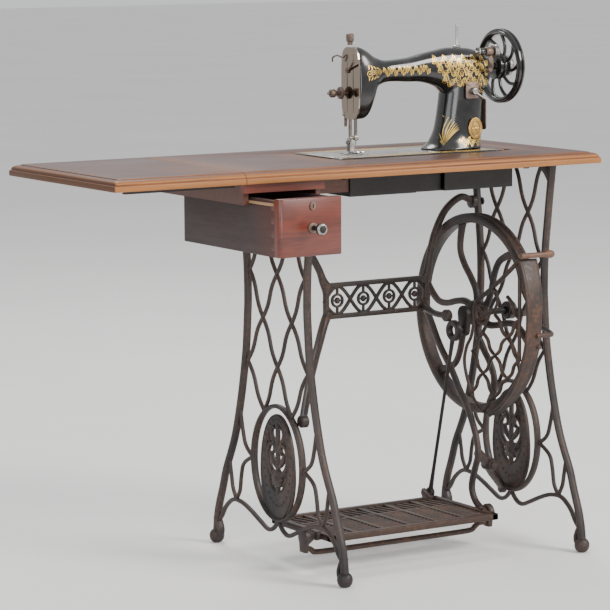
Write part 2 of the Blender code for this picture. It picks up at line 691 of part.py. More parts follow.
def bed():
    x0, x1, y0, y1 = BED
    casting = prism(rounded(x0, x1, y0, y1, 9), to_xy, 758, BED_TOP)
    slide_seat = box((x0 - 5, -46, BED_TOP - 2.5), (-122, 46, BED_TOP + 5))
    plate_seat = prism(ellipse(NEEDLE, 26, 26, 24), to_xy, BED_TOP - 2.5, BED_TOP + 5)
    shuttle_well = box((-150, -20, 750), (-84, 20, BED_TOP + 5))
    bearer = box((-60, -8, 726), (150, 8, 760))
    casting = combine(casting, [bearer])
    casting = combine(casting, [slide_seat, plate_seat, shuttle_well], "DIFFERENCE")
    add("bed_casting", casting, "black_japan")
    slide = box((x0, -45, BED_TOP - 2), (-123, 45, BED_TOP + 0.2))
    slide = combine(slide, [cylinder(27, "Z", NEEDLE, 760, 790, 24)], "DIFFERENCE")
    add("slide_plate", slide, "nickel")
    plate = prism(ellipse(NEEDLE, 25.2, 25.2, 24), to_xy, BED_TOP - 2, BED_TOP + 0.4)
    plate = combine(plate, [cylinder(2.2, "Z", NEEDLE, 770, 785, 10),
                            box((-99, -9, 770), (-97, 13, 785)), box((-91, -9, 770), (-89, 13, 785))], "DIFFERENCE")
    add("needle_plate", plate, "nickel")
    teeth = combine(box((-104, -10, 764), (-84.6, 14, 769)),
                    [box((-98.7, -7, 767), (-97.3, 11, BED_TOP + 0.2)),
                     box((-90.7, -7, 767), (-89.3, 11, BED_TOP + 0.2))])
    teeth = combine(teeth, [cylinder(4, "Z", NEEDLE, 760, 775, 10)], "DIFFERENCE")
    add("feed_dog", teeth, "steel")
    shuttle = turned([(4, -122), (15, -122), (15, -110), (4, -110)], "X", (0, 758), 20, closed=True)
    add("shuttle_hook", shuttle, "steel")


def arm():
    """Hollow-looking casting: the head end and the arm are lofted along X, the pillar along Z."""
    sections = ((-104, 843, 980, 31), (-92, 842, 982, 33), (-78, 846, 976, 33), (-68, 868, 969, 31),
                (-56, 898, 962, 27), (-30, 911, 954, 23), (20, 910, 957, 22), (55, 908, 965, 23),
                (88, 898, 971, 26), (116, 880, 975, 29), (160, 876, 973, 31), (190, 884, 964, 30), (204, 900, 952, 25))
    along = [[(x, y, z) for y, z in oval((1, (low + high) / 2), half, (high - low) / 2, 16)]
             for x, low, high, half in sections]
    heights = ((BED_TOP + GAP, 62, 188, 44), (783, 68, 188, 41), (794, 80, 189, 37), (815, 91, 190, 33),
               (850, 98, 192, 31), (892, 104, 196, 31), (930, 108, 200, 29), (958, 116, 192, 24))
    pillar = [[(x, y, z) for x, y in oval(((x0 + x1) / 2, 1), (x1 - x0) / 2, half, 16, 3.2)]
              for z, x0, x1, half in heights]
    casting = combine(skin(along), [skin(pillar)])
    bores = [cylinder(8, "X", SHAFT_AXIS, -120, 220, 14),
             cylinder(4.4, "Z", NEEDLE, 830, 1000, 12), cylinder(4.4, "Z", (NEEDLE[0], PRESSER_Y), 830, 1000, 12)]
    casting = combine(casting, bores, "DIFFERENCE")
    add("arm_casting", casting, "black_japan")
    x, (y, z) = -60, SHAFT_AXIS
    shaft = combine(cylinder(6.5, "X", SHAFT_AXIS, x, 226, 14), [cylinder(10, "X", SHAFT_AXIS, 207, 215, 14)])
    add("main_shaft", shaft, "steel", (0, y, z))


def face_end():
    outline = [(y, z) for y, z in oval((1, 912), 31, 69, 20, 4)]
    plate = combine(prism(outline, to_yz, -107.6, -104.5), [cylinder(4, "X", (-20, 890), -120, -100, 10)],
                    "DIFFERENCE")
    add("face_plate", plate, "worn_nickel")
    x, y = NEEDLE
    bar = combine(cylinder(3.2, "Z", NEEDLE, 802, 978, 12),
                  [box((x - 4.5, y - 4.5, 803), (x + 4.5, y + 4.5, 812)), cylinder(2.6, "X", (y, 808), -108, x, 8)])
    add("needle_bar", bar, "steel", (x, y, 802))
    needle = turned([(0.25, 784.5), (0.8, 790), (0.8, 793), (1.1, 795), (1.1, 801.6)], "Z", NEEDLE, 8)
    add("needle", needle, "steel", (x, y, 802))
    add("presser_bar", cylinder(3.4, "Z", (x, PRESSER_Y), 806, 976, 12), "steel", (x, PRESSER_Y, 806))
    sole = combine(box((x - 8, -13, 778.9), (x + 8, 18, 781)), [box((x - 4.5, 15, 780), (x + 4.5, 27, 805.6))])
    sole = combine(sole, [box((x - 2, -14, 770), (x + 2, 6, 790))], "DIFFERENCE")
    add("presser_foot", sole, "nickel", (x, PRESSER_Y, 806))
    screw = turned([(5, 983.5), (5, 990), (7.5, 992), (7.5, 1003), (5, 1006)], "Z", (x, PRESSER_Y), 12)
    add("presser_screw", screw, "worn_nickel", (x, PRESSER_Y, 990))
    lever = combine(cylinder(6, "Y", (x, 862), 35, 40, 12),
                    [prism([(x - 4, 862), (x - 3, 826), (x + 3, 824), (x + 5, 862)], to_xz, -35, -40)])
    add("presser_lifter", lever, "worn_nickel", (x, 0, 862))
    pivot = (8.0, 936.0)
    take_up = combine(cylinder(5, "X", pivot, -111.5, -108, 12),
                      [tube([(-110, 8, 936), (-113, -10, 944), (-120, -26, 952), (-124, -38, 956)],
                            [2.5, 2.2, 2, 2.6], 8, 3)])
    add("take_up_lever", take_up, "worn_nickel", (0, *pivot))
    stack = turned([(2.4, -146), (2.4, -120), (11, -119), (12, -117), (11, -115), (5, -114), (5, -108)], "X",
                   (20, 893), 16)
    add("tension_discs", stack, "worn_nickel")
    nut = turned([(3.2, -141), (6, -141), (8, -139), (8, -131), (6, -129), (3.2, -129)], "X", (20, 893), 14, closed=True)
    add("tension_nut", nut, "worn_nickel", (0, 20, 893))
    guide = tube([(-109.5, 26, 960), (-118, 30, 964), (-124, 36, 960), (-122, 40, 952)], 1.8, 6, 3)
    add("thread_guide", guide, "worn_nickel")


def pillar_fittings():
    front = -35.0
    plate = prism(rounded(135, 165, 875, 907, 4, 3), to_xz, -(front - 0.2), -(front - 2.4))
    add("stitch_plate", plate, "nickel")
    lever = combine(cylinder(7, "Y", (150, 890), front - 14, front - 3, 14),
                    [tube([(150, front - 10, 890), (158, front - 12, 883), (166, front - 13, 878)], [3, 2.4, 3], 6, 2)])
    add("stitch_lever", lever, "nickel", (150, 0, 890))
    badge = prism(ellipse((158, 817), 16, 21, 20), to_xz, -(front - 0.2), -(front - 2.2))
    add("oval_badge", badge, "brass")
    cover = prism(rounded(-19, 21, 812, 872, 5, 3), to_yz, 194.4, 196.6)
    add("pillar_cover", cover, "worn_nickel")
    pin = turned([(3, 974.8), (8, 974.9), (8, 977), (3, 978), (2.2, 980), (2.2, 1016), (1.4, 1018)], "Z", (139, 1), 10)
    add("spool_pin", pin, "steel")


def hand_wheel():
    y, z = SHAFT_AXIS
    rim = turned([(61, 241), (66, 236), (73, 240), (73, 251), (66, 255), (61, 250)], "X", SHAFT_AXIS, 27,
                 closed=True)
    spokes = []
    for k in range(9):
        points = []
        for radius, bend in ((14, 0), (30, -4), (46, -14), (63, -28)):
            angle = math.radians(40 * k + bend)
            points.append((246, y + radius * math.cos(angle), z + radius * math.sin(angle)))
        spokes.append(tube(points, [4, 3.6, 3.6, 4], 5, 1))
    hub = turned([(26, 228), (26, 232), (22, 234), (22, 238), (26, 240), (26, 244), (18, 248), (15, 256)], "X",
                 SHAFT_AXIS, 18)
    add("hand_wheel", combine(rim, spokes + [hub]), "black_japan", (0, y, z))
    nut = turned([(19, 256.5), (20, 258), (20, 264), (16, 268), (7, 269)], "X", SHAFT_AXIS, 18)
    add("clutch_nut", nut, "nickel", (0, y, z))


def bobbin_winder():
    y, z = -48.0, 966.0
    bracket = tube([(186, -34.5, 925), (188, -44, 932), (184, -52, 946), (180, -50, 958)], [6, 5, 5, 5], 8, 3)
    bearing = turned([(4.4, 172), (8.5, 172), (8.5, 188), (4.4, 188)], "X", (y, z), 14, closed=True)
    add("winder_arm", combine(bracket, [bearing]), "worn_nickel", (186, -36, 925))
    spindle = combine(cylinder(3, "X", (y, z), 148, 205, 12),
                      [turned([(5, 190), (13, 190), (13, 199), (5, 199)], "X", (y, z), 18),
                       turned([(5, 154), (9, 154), (9, 156), (5, 156)], "X", (y, z), 14)])
    add("winder_spindle", spindle, "steel", (0, y, z))


def main():
    for obj in list(bpy.data.objects):
        bpy.data.objects.remove(obj)
    material("cast_iron", (0.035, 0.025, 0.022), 0.6, 0.5)
    material("rusty_iron", (0.13, 0.06, 0.035), 0.75, 0.2)
    material("dark_iron", (0.05, 0.045, 0.04), 0.5, 0.7)
    material("mahogany_top", (0.2, 0.075, 0.04), 0.35)
    material("mahogany_red", (0.14, 0.035, 0.02), 0.4)
    material("drawer_wood", (0.09, 0.055, 0.045), 0.6)
    material("dark_wood", (0.11, 0.035, 0.02), 0.5)
    material("black_paint", (0.012, 0.012, 0.012), 0.5)
    material("black_japan", (0.008, 0.008, 0.009), 0.2)
    material("nickel", (0.6, 0.57, 0.52), 0.3, 1.0)
    material("worn_nickel", (0.35, 0.28, 0.22), 0.45, 0.9)
    material("steel", (0.45, 0.43, 0.4), 0.35, 1.0)
    material("brass", (0.6, 0.4, 0.15), 0.35, 1.0)
    left_side_frame()
    right_side_frame()
    cross_brace()
    brace_bolts()
    treadle_cross_rod()
    wheel_guard()
    table()
    leaf_hinges()
    drip_pan()
    case()
    drawer()
    treadle()
    pitman()
    flywheel()
    crank_shaft()
    bed()
    arm()
    face_end()
    pillar_fittings()
    hand_wheel()
    bobbin_winder()


main()
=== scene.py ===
"""Looks of the treadle sewing machine: detailed castings, boards, head and drive around the CAD frame.

Lengths are millimetres in the stand's own frame: origin on the floor midway between the two side
frames, X to the right, Y to the back, Z up. at() turns them into metres in the part's frame.
"""
from math import atan2, copysign, cos, degrees, hypot, pi, radians, sin, sqrt

import bmesh
import bpy
from mathutils import Matrix, Vector
from mathutils.bvhtree import BVHTree


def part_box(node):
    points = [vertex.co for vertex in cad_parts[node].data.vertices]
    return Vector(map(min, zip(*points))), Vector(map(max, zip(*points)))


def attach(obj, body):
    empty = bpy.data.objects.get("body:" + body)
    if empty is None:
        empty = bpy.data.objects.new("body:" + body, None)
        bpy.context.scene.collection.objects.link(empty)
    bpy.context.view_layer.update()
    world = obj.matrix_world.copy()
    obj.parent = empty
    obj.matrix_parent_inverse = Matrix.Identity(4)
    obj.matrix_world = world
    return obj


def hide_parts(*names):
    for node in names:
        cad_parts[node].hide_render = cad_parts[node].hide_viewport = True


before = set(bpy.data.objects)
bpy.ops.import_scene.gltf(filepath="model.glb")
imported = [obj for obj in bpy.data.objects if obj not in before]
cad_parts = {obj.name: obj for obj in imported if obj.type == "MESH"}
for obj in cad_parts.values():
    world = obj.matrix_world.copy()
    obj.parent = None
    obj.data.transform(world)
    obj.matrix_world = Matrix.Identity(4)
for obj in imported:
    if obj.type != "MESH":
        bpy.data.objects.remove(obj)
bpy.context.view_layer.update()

MM = 0.001
left_box, right_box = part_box("left_side_frame"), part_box("right_side_frame")
ORIGIN = Vector(((left_box[0].x + right_box[1].x) / 2, (left_box[0].y + left_box[1].y) / 2, 0.0))


def at(x, y, z):
    return ORIGIN + Vector((x, y, z)) * MM


# ---------------------------------------------------------------- node materials

class Nodes:
    """A material's node tree with short calls for the nodes that it needs."""

    def __init__(self, name, roughness=0.5, metallic=0.0):
        self.material = bpy.data.materials.new(name)
        self.material.use_nodes = True
        self.tree = self.material.node_tree
        self.shader = self.tree.nodes["Principled BSDF"]
        self.shader.inputs["Roughness"].default_value = roughness
        self.shader.inputs["Metallic"].default_value = metallic

    def node(self, kind, **values):
        made = self.tree.nodes.new(kind)
        for key, value in values.items():
            setattr(made, key, value)
        return made

    def link(self, source, target):
        self.tree.links.new(source, target)

    def feed(self, socket, value):
        if isinstance(value, (int, float, tuple)):
            socket.default_value = value
        else:
            self.link(value, socket)

    def place(self, scale=(1, 1, 1)):
        coords = self.node("ShaderNodeTexCoord")
        mapping = self.node("ShaderNodeMapping")
        mapping.inputs["Scale"].default_value = scale
        self.link(coords.outputs["Object"], mapping.inputs["Vector"])
        return mapping.outputs["Vector"]

    def noise(self, scale, detail=6, roughness=0.6, vector=None, distortion=0.0):
        made = self.node("ShaderNodeTexNoise")
        made.inputs["Scale"].default_value = scale
        made.inputs["Detail"].default_value = detail
        made.inputs["Roughness"].default_value = roughness
        made.inputs["Distortion"].default_value = distortion
        self.link(vector or self.place(), made.inputs["Vector"])
        return made.outputs["Fac"]

    def ramp(self, factor, *stops):
        made = self.node("ShaderNodeValToRGB")
        elements = made.color_ramp.elements
        while len(elements) < len(stops):
            elements.new(0.5)
        for element, (position, value) in zip(elements, stops):
            element.position = position
            element.color = (*value, 1) if isinstance(value, tuple) else (value, value, value, 1)
        self.link(factor, made.inputs["Fac"])
        return made.outputs["Color"]

    def mix(self, factor, a, b):
        made = self.node("ShaderNodeMix", data_type="RGBA")
        for value, socket in ((factor, 0), (a, 6), (b, 7)):
            self.feed(made.inputs[socket], (*value, 1) if isinstance(value, tuple) else value)
        return made.outputs[2]

    def math(self, operation, a, b=0.0):
        made = self.node("ShaderNodeMath", operation=operation)
        self.feed(made.inputs[0], a)
        self.feed(made.inputs[1], b)
        return made.outputs[0]

    def times(self, a, b):
        return self.math("MULTIPLY", a, b)

    def edge(self, low, high):
        """Bright along convex edges, where a finish wears; on the table's mouldings it also places a painted highlight
        along the arrises.
        """
        geometry = self.node("ShaderNodeNewGeometry")
        return self.ramp(geometry.outputs["Pointiness"], (low, 0.0), (high, 1.0))

    def bump(self, height, strength, distance=0.001):
        made = self.node("ShaderNodeBump")
        made.inputs["Strength"].default_value = strength
        made.inputs["Distance"].default_value = distance
        self.link(height, made.inputs["Height"])
        self.link(made.outputs["Normal"], self.shader.inputs["Normal"])

    def colour(self, source):
        self.link(source, self.shader.inputs["Base Color"])

    def rough(self, source):
        self.link(source, self.shader.inputs["Roughness"])


def iron(name, paint, brown, rust, amount=0.5):
    """Old cast iron: worn dark paint, brown patina in broad patches and rust in specks and on edges."""
    made = Nodes(name, 0.5, 0.1)
    made.shader.inputs["Specular IOR Level"].default_value = 0.4
    broad = made.noise(9, 5, 0.65)
    fine = made.noise(140, 4, 0.7)
    grit = made.noise(620, 3, 0.6)
    patina = made.mix(made.ramp(broad, (0.42 - 0.1 * amount, 0.0), (0.68 - 0.12 * amount, 1.0)), paint, brown)
    specks = made.times(made.ramp(fine, (0.5, 0.0), (0.66, 1.0)), made.ramp(broad, (0.4, 0.1), (0.6, 1.0)))
    rusted = made.mix(made.times(specks, 0.5 + 0.5 * amount), patina, rust)
    worn = made.mix(made.times(made.edge(0.51, 0.58), 0.45), rusted, brown)
    made.colour(worn)
    made.rough(made.ramp(fine, (0.3, 0.36), (0.7, 0.62)))
    made.bump(made.math("ADD", grit, made.times(fine, 0.6)), 0.35, 0.0005)
    return made.material


def wood(name, dark, light, glow, along="X", gloss=0.3, coat=0.25, grain=1.0):
    """Varnished board with long grain, pores and slow colour bands along one axis."""
    made = Nodes(name, gloss)
    stretch = {"X": (1.2, 14, 14), "Y": (14, 1.2, 14)}[along]
    slow = made.noise(2.2, 5, 0.55, made.place(stretch), 1.4)
    fine_stretch = {"X": (9, 210, 210), "Y": (210, 9, 210)}[along]
    pores = made.noise(2.4, 3, 0.7, made.place(fine_stretch))
    patches = made.noise(5, 3, 0.5)
    base = made.ramp(slow, (0.28, dark), (0.52, light), (0.78, dark))
    warm = made.mix(made.times(made.ramp(patches, (0.4, 0.0), (0.75, 1.0)), 0.45), base, glow)
    pored = made.mix(made.times(made.ramp(pores, (0.36, 1.0), (0.5, 0.0)), 0.55 * grain), warm, dark)
    made.colour(pored)
    made.rough(made.ramp(patches, (0.3, gloss - 0.06), (0.8, gloss + 0.14)))
    made.bump(pores, 0.12 * grain, 0.0003)
    made.shader.inputs["Coat Weight"].default_value = coat
    made.shader.inputs["Coat Roughness"].default_value = 0.22
    return made


def metal(name, colour, stain, roughness, stain_amount=0.5, metallic=1.0):
    """Plated or bare metal with tarnish and fine scratches."""
    made = Nodes(name, roughness, metallic)
    patches = made.noise(60, 6, 0.7)
    fine = made.noise(900, 2, 0.5, made.place((1, 1, 0.2)))
    tarnish = made.times(made.ramp(patches, (0.42, 0.0), (0.68, 1.0)), stain_amount)
    made.colour(made.mix(tarnish, colour, stain))
    made.rough(made.ramp(patches, (0.3, roughness - 0.08), (0.75, roughness + 0.2)))
    made.bump(fine, 0.08, 0.0002)
    return made.material


def japan(name):
    """Glossy black japan, a little cloudy, with dust and dull wear."""
    made = Nodes(name, 0.16)
    clouds = made.noise(22, 5, 0.6)
    fine = made.noise(380, 3, 0.6)
    base = made.mix(made.ramp(clouds, (0.4, 0.0), (0.75, 1.0)), (0.006, 0.006, 0.007), (0.026, 0.024, 0.022))
    worn = made.mix(made.times(made.edge(0.53, 0.62), 0.35), base, (0.09, 0.075, 0.055))
    made.colour(worn)
    made.rough(made.ramp(clouds, (0.35, 0.12), (0.8, 0.34)))
    made.bump(fine, 0.05, 0.0002)
    made.shader.inputs["Coat Weight"].default_value = 0.35
    made.shader.inputs["Coat Roughness"].default_value = 0.1
    return made.material


IRON = iron("iron_aged", (0.012, 0.011, 0.012), (0.040, 0.028, 0.024), (0.13, 0.058, 0.034))
IRON_DARK = iron("iron_dark", (0.008, 0.007, 0.007), (0.022, 0.017, 0.015), (0.07, 0.033, 0.02), 0.2)
IRON_BROWN = iron("iron_brown", (0.014, 0.011, 0.010), (0.045, 0.026, 0.019), (0.15, 0.062, 0.030), 0.6)
IRON_RUST = iron("iron_rusty", (0.060, 0.036, 0.028), (0.13, 0.070, 0.045), (0.27, 0.115, 0.052), 0.9)
NICKEL = metal("nickel_plate", (0.42, 0.41, 0.40), (0.16, 0.12, 0.09), 0.3, 0.75)
NICKEL_WORN = metal("nickel_tarnished", (0.20, 0.145, 0.118), (0.075, 0.040, 0.027), 0.42, 0.9, 0.6)
STEEL = metal("steel_bare", (0.46, 0.44, 0.41), (0.18, 0.12, 0.08), 0.34, 0.7)
BRASS = metal("brass_aged", (0.62, 0.40, 0.13), (0.25, 0.12, 0.04), 0.36, 0.6)
GOLD = metal("gold_leaf", (0.83, 0.56, 0.15), (0.42, 0.24, 0.06), 0.34, 0.45)
JAPAN = japan("japan_black")
BLACK = iron("pan_black", (0.010, 0.010, 0.010), (0.020, 0.018, 0.016), (0.04, 0.025, 0.018), 0.1)
DRAWER_RED = wood("wood_drawer_front", (0.045, 0.008, 0.005), (0.135, 0.022, 0.010), (0.22, 0.045, 0.016),
                  "X", 0.36, 0.3).material


def side_wood(name):
    """Drawer side: grey and dull towards the back, in painted shade under the table, and redder and lighter towards the
    front, a painted warm sheen where light reaches its front end.
    """
    made = wood(name, (0.022, 0.015, 0.014), (0.048, 0.034, 0.032), (0.062, 0.042, 0.038), "Y", 0.62, 0.0)
    grey = made.shader.inputs["Base Color"].links[0].from_socket
    parts = made.node("ShaderNodeSeparateXYZ")
    made.link(made.node("ShaderNodeTexCoord").outputs["Object"], parts.inputs[0])
    drift = made.math("ADD", parts.outputs["Y"], made.times(made.noise(14, 4, 0.6), 0.12))
    # Painted light: this mask rises towards the front and gives the lighter red there; behind it the side keeps the
    # grey of painted shade.
    front = made.ramp(made.math("ADD", made.times(drift, -4.0), 0.2), (0.5, 0.0), (0.95, 1.0))
    made.colour(made.mix(made.times(front, 0.8), grey, (0.085, 0.022, 0.014)))
    return made.material


DRAWER_SIDE = side_wood("wood_drawer_side")
DARK_WOOD = wood("wood_rail", (0.030, 0.009, 0.006), (0.085, 0.026, 0.014), (0.13, 0.045, 0.022),
                 "X", 0.42, 0.2).material
PALE_WOOD = wood("wood_runner", (0.25, 0.13, 0.065), (0.42, 0.25, 0.14), (0.48, 0.30, 0.18), "Y", 0.6, 0.0).material


def top_wood(name):
    """Table boards: greyish mauve satin top, orange-brown mouldings pale on their worn ridges, where the pale also
    serves as a painted highlight along the arrises, and end faces darkened with painted shade.
    """
    made = wood(name, (0.042, 0.015, 0.012), (0.095, 0.036, 0.028), (0.13, 0.052, 0.040), "X", 0.42, 0.0)
    board = made.shader.inputs["Base Color"].links[0].from_socket
    streaks = made.noise(3.0, 5, 0.6, made.place((3, 60, 60)), 0.8)
    edge = made.ramp(streaks, (0.3, (0.10, 0.028, 0.008)), (0.6, (0.26, 0.085, 0.020)), (0.8, (0.12, 0.034, 0.009)))
    # Wear and painted highlight: the pale colour along the mouldings' convex arrises stands partly for worn varnish and
    # partly for the light that the arrises catch.
    rubbed_and_highlit = made.mix(made.times(made.edge(0.505, 0.56), 0.6), edge, (0.42, 0.185, 0.06))
    geometry = made.node("ShaderNodeNewGeometry")
    parts = made.node("ShaderNodeSeparateXYZ")
    made.link(geometry.outputs["Normal"], parts.inputs[0])
    # Painted shade: faces turned along X, the boards' end faces, are darkened as if they lay in shadow.
    end = made.ramp(made.math("ABSOLUTE", parts.outputs["X"]), (0.5, 0.0), (0.8, 1.0))
    ends = made.mix(made.times(end, 0.8), rubbed_and_highlit, (0.035, 0.014, 0.010))
    side = made.ramp(parts.outputs["Z"], (0.86, 1.0), (0.985, 0.0))
    made.colour(made.mix(side, board, ends))
    made.shader.inputs["Specular IOR Level"].default_value = 0.32
    return made.material


TOP_WOOD = top_wood("wood_top")


# ---------------------------------------------------------------- shapes

def smooth(points, steps=6, closed=False):
    """Points on a Catmull-Rom curve through the given ones."""
    known = [Vector(p) for p in points]
    count = len(known)
    result = []
    for i in range(count if closed else count - 1):
        if closed:
            a, b, c, d = (known[(i + k - 1) % count] for k in range(4))
        else:
            a, b, c, d = known[max(i - 1, 0)], known[i], known[i + 1], known[min(i + 2, count - 1)]
        for k in range(steps):
            t = k / steps
            result.append(0.5 * ((2 * b) + (c - a) * t + (2 * a - 5 * b + 4 * c - d) * t * t
                                 + (3 * b - a - 3 * c + d) * t ** 3))
    if not closed:
        result.append(known[-1])
    return result


def rounded(count=12, power=2.4):
    """Unit ring of a rounded bar's section, as (across, deep) pairs."""
    ring = []
    for k in range(count):
        t = 2 * pi * (k + 0.5) / count
        c, s = cos(t), sin(t)
        ring.append((copysign(abs(c) ** (2 / power), c), copysign(abs(s) ** (2 / power), s)))
    return ring


AXIS_X, AXIS_Y, AXIS_Z = (1, 0, 0), (0, 1, 0), (0, 0, 1)
ROUND, SOFT, SQUARE = rounded(10, 2.0), rounded(12, 2.8), rounded(16, 5.0)


def add(name, data):
    obj = bpy.data.objects.new(name, data)
    bpy.context.scene.collection.objects.link(obj)
    return obj


def closed_mesh(name, points, faces):
    """Object from points in metres, with its faces turned outwards."""
    mesh = bpy.data.meshes.new(name)
    mesh.from_pydata(points, [], faces)
    bm = bmesh.new()
    bm.from_mesh(mesh)
    bmesh.ops.recalc_face_normals(bm, faces=bm.faces)
    bm.to_mesh(mesh)
    bm.free()
    return add(name, mesh)


def sharpen(obj, angle):
    obj.data.shade_smooth()
    obj.data.set_sharp_from_angle(angle=radians(angle))


def polar(centre, radius, degree):
    a = radians(degree)
    return centre[0] + radius * cos(a), centre[1] + radius * sin(a)


def across_x(x, line):
    """Points of a (y, z) line in the plane at x."""
    return [(x, y, z) for y, z in line]


def taper(line, start, drop):
    """Half widths along a line, from start down by drop."""
    return [start - drop * i / len(line) for i in range(len(line))]


def waist(line, middle, flare, power):
    """Half widths along a line, flaring towards both ends."""
    return [middle + flare * (abs(i / (len(line) - 1) - 0.5) * 2) ** power for i in range(len(line))]


def knurl(count, depth):
    return lambda a: 1 + depth * copysign(1, sin(count * a))


def rectangle(x0, x1, y0, y1):
    return [(x0, y0), (x1, y0), (x1, y1), (x0, y1)]


class Builder:
    """Gathers closed shapes, in millimetres in the stand's frame, into one object."""

    def __init__(self):
        self.points, self.faces = [], []

    def rings(self, rings, closed=False):
        """Skin through rings with as many points each; the ends are capped unless they close up."""
        base, count = len(self.points), len(rings[0])
        for ring in rings:
            self.points += [Vector(p) for p in ring]
        rows = len(rings)
        for i in range(rows if closed else rows - 1):
            low, high = base + i * count, base + ((i + 1) % rows) * count
            for k in range(count):
                n = (k + 1) % count
                self.faces.append((low + k, low + n, high + n, high + k))
        if not closed:
            self.faces.append(tuple(range(base + count - 1, base - 1, -1)))
            last = base + (rows - 1) * count
            self.faces.append(tuple(range(last, last + count)))
        return self

    def sweep(self, line, across, deep=None, deep_axis=None, section=ROUND, closed=False):
        """Bar along a line. across and deep are half sizes, a number or one per point."""
        line = [Vector(p) for p in line]
        count = len(line)
        across = across if isinstance(across, list) else [across] * count
        deep = across if deep is None else deep if isinstance(deep, list) else [deep] * count
        rings, normal = [], Vector(deep_axis or AXIS_Z)
        for i, here in enumerate(line):
            before = line[i - 1] if closed or i else here
            after = line[(i + 1) % count] if closed or i < count - 1 else here
            along = (after - before).normalized()
            axis = Vector(deep_axis) if deep_axis else normal
            flat = axis - along * axis.dot(along)
            if flat.length < 1e-3:
                flat = along.orthogonal()
            normal = flat.normalized()
            side = along.cross(normal)
            rings.append([here + side * (u * across[i]) + normal * (v * deep[i]) for u, v in section])
        return self.rings(rings, closed)

    def turned(self, profile, axis, centre, sides=32, closed=False, wobble=None):
        """Solid of revolution; profile is (radius, place along the axis)."""
        rings = []
        for radius, along in profile:
            ring = []
            for k in range(sides):
                a = 2 * pi * k / sides
                r = radius * (wobble(a) if wobble else 1)
                u, v = r * cos(a), r * sin(a)
                ring.append({"X": (along, centre[0] + u, centre[1] + v),
                             "Y": (centre[0] + u, along, centre[1] + v),
                             "Z": (centre[0] + u, centre[1] + v, along)}[axis])
            rings.append(ring)
        return self.rings(rings, closed)

    def slab(self, outline, plane, low, high, soft=1.0):
        """Flat plate with softened edges; plane is yz, xz or xy."""
        outline = [Vector(p) for p in outline]
        count = len(outline)
        area = sum(outline[k].x * outline[(k + 1) % count].y - outline[(k + 1) % count].x * outline[k].y
                   for k in range(count))
        inward = []
        for k, here in enumerate(outline):
            a = (here - outline[k - 1]).normalized()
            b = (outline[(k + 1) % count] - here).normalized()
            normal = Vector((-a.y - b.y, a.x + b.x))
            normal = normal.normalized() / max(0.4, sqrt((1 + a.dot(b)) / 2))
            inward.append(normal if area > 0 else -normal)
        place = {"yz": lambda u, v, w: (w, u, v), "xz": lambda u, v, w: (u, w, v),
                 "xy": lambda u, v, w: (u, v, w)}[plane]
        rings = []
        for w, inset in ((low, soft), (low + soft * 0.35, soft * 0.3), (low + soft, 0), (high - soft, 0),
                         (high - soft * 0.35, soft * 0.3), (high, soft)):
            rings.append([place(*(p + n * inset), w) for p, n in zip(outline, inward)])
        return self.rings(rings)

    def block(self, low, high, soft=1.0):
        (x0, y0, z0), (x1, y1, z1) = low, high
        return self.slab(rectangle(x0, x1, y0, y1), "xy", z0, z1, soft)

    def ball(self, centre, radius, squash=(1, 1, 1), steps=10):
        x, y, z = centre
        rings = []
        for i in range(1, steps):
            a = pi * i / steps - pi / 2
            r = radius * cos(a)
            rings.append([(x + r * squash[0] * cos(t), y + r * squash[1] * sin(t),
                           z + radius * squash[2] * sin(a))
                          for t in (2 * pi * k / (steps + 2) for k in range(steps + 2))])
        return self.rings(rings)

    def done(self, name, material, body, slot, *nodes, angle=40):
        """Named piece from all the shapes so far, riding on a body and standing for CAD nodes."""
        obj = closed_mesh(name, [at(*p) for p in self.points], self.faces)
        sharpen(obj, angle)
        obj.data.materials.append(material)
        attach(obj, body)
        if nodes:
            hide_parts(*nodes)
        return obj


def ellipse(centre, half_u, half_v, count=48, start=0.0, turn=360.0):
    steps = count if turn == 360.0 else count + 1
    angles = [radians(start + turn * k / count) for k in range(steps)]
    return [(centre[0] + half_u * cos(a), centre[1] + half_v * sin(a)) for a in angles]


def finish_node(name, material, bevel=0.0, segments=2):
    """Gives a CAD node its material and, where its edges are plain, a bevel."""
    obj = bpy.data.objects[name]
    obj.data.materials.clear()
    obj.data.materials.append(material)
    if bevel:
        made = obj.modifiers.new("soft_edges", "BEVEL")
        made.width = bevel * MM
        made.segments = segments
        made.limit_method = "ANGLE"
        made.angle_limit = radians(40)
        made.harden_normals = False
    return obj


# ---------------------------------------------------------------- side frames

FRAME_X = 273.8
# Pivots as (Y, Z)
TREADLE_PIVOT, CRANK, CRANK_PIN, PITMAN_FOOT = (-88.0, 67.0), (10.0, 447.0), (10.0, 416.0), (92.0, 78.0)
BAR_LINE = [(131, 748), (121, 678), (116, 638), (111, 600), (107, 555), (106, 500), (108, 470), (112, 420),
            (117, 385), (126, 340), (136, 298), (153, 240), (170, 200), (193, 156), (207, 117), (222, 80),
            (230, 50), (234, 17)]
APRON_LINE = [(227, 44), (212, 58), (196, 79), (167, 97), (132, 96), (98, 85), (65, 71), (38, 61), (18, 66), (0, 83)]
CROSSING_ROWS = (750, 648, 558, 470, 380, 290)
FOOT = 234.0


def strand(knots, steps=8, swing=0.45):
    """Lattice strand through knots: it crosses at a slope and runs steep between them."""
    points = []
    for (y0, z0), (y1, z1) in zip(knots, knots[1:]):
        for k in range(steps):
            s = k / steps
            side = s + swing * sin(2 * pi * s) / (2 * pi)
            points.append((y0 + (y1 - y0) * side, z0 + (z1 - z0) * s))
    points.append(knots[-1])
    return points


def lattice_lines():
    top, r1, r2, r3, r4, r5 = CROSSING_ROWS
    lines = [strand(knots) for knots in ([(100, top), (52, r1), (0, r2), (-52, r3), (-109, r4)],
                                         [(0, top), (52, r1), (99, r2), (52, r3), (0, r4), (-50, r5)],
                                         [(109, r4), (50, r5)])]
    for knots in ([(139, 280), (130, 240), (119, 212), (95, 194)],
                  [(93, 194), (127, 175), (137, 150), (143, 119), (157, 99)],
                  [(181, 172), (175, 144), (170, 121), (157, 99)]):
        lines.append([tuple(p) for p in smooth(knots, 6)])
    return lines


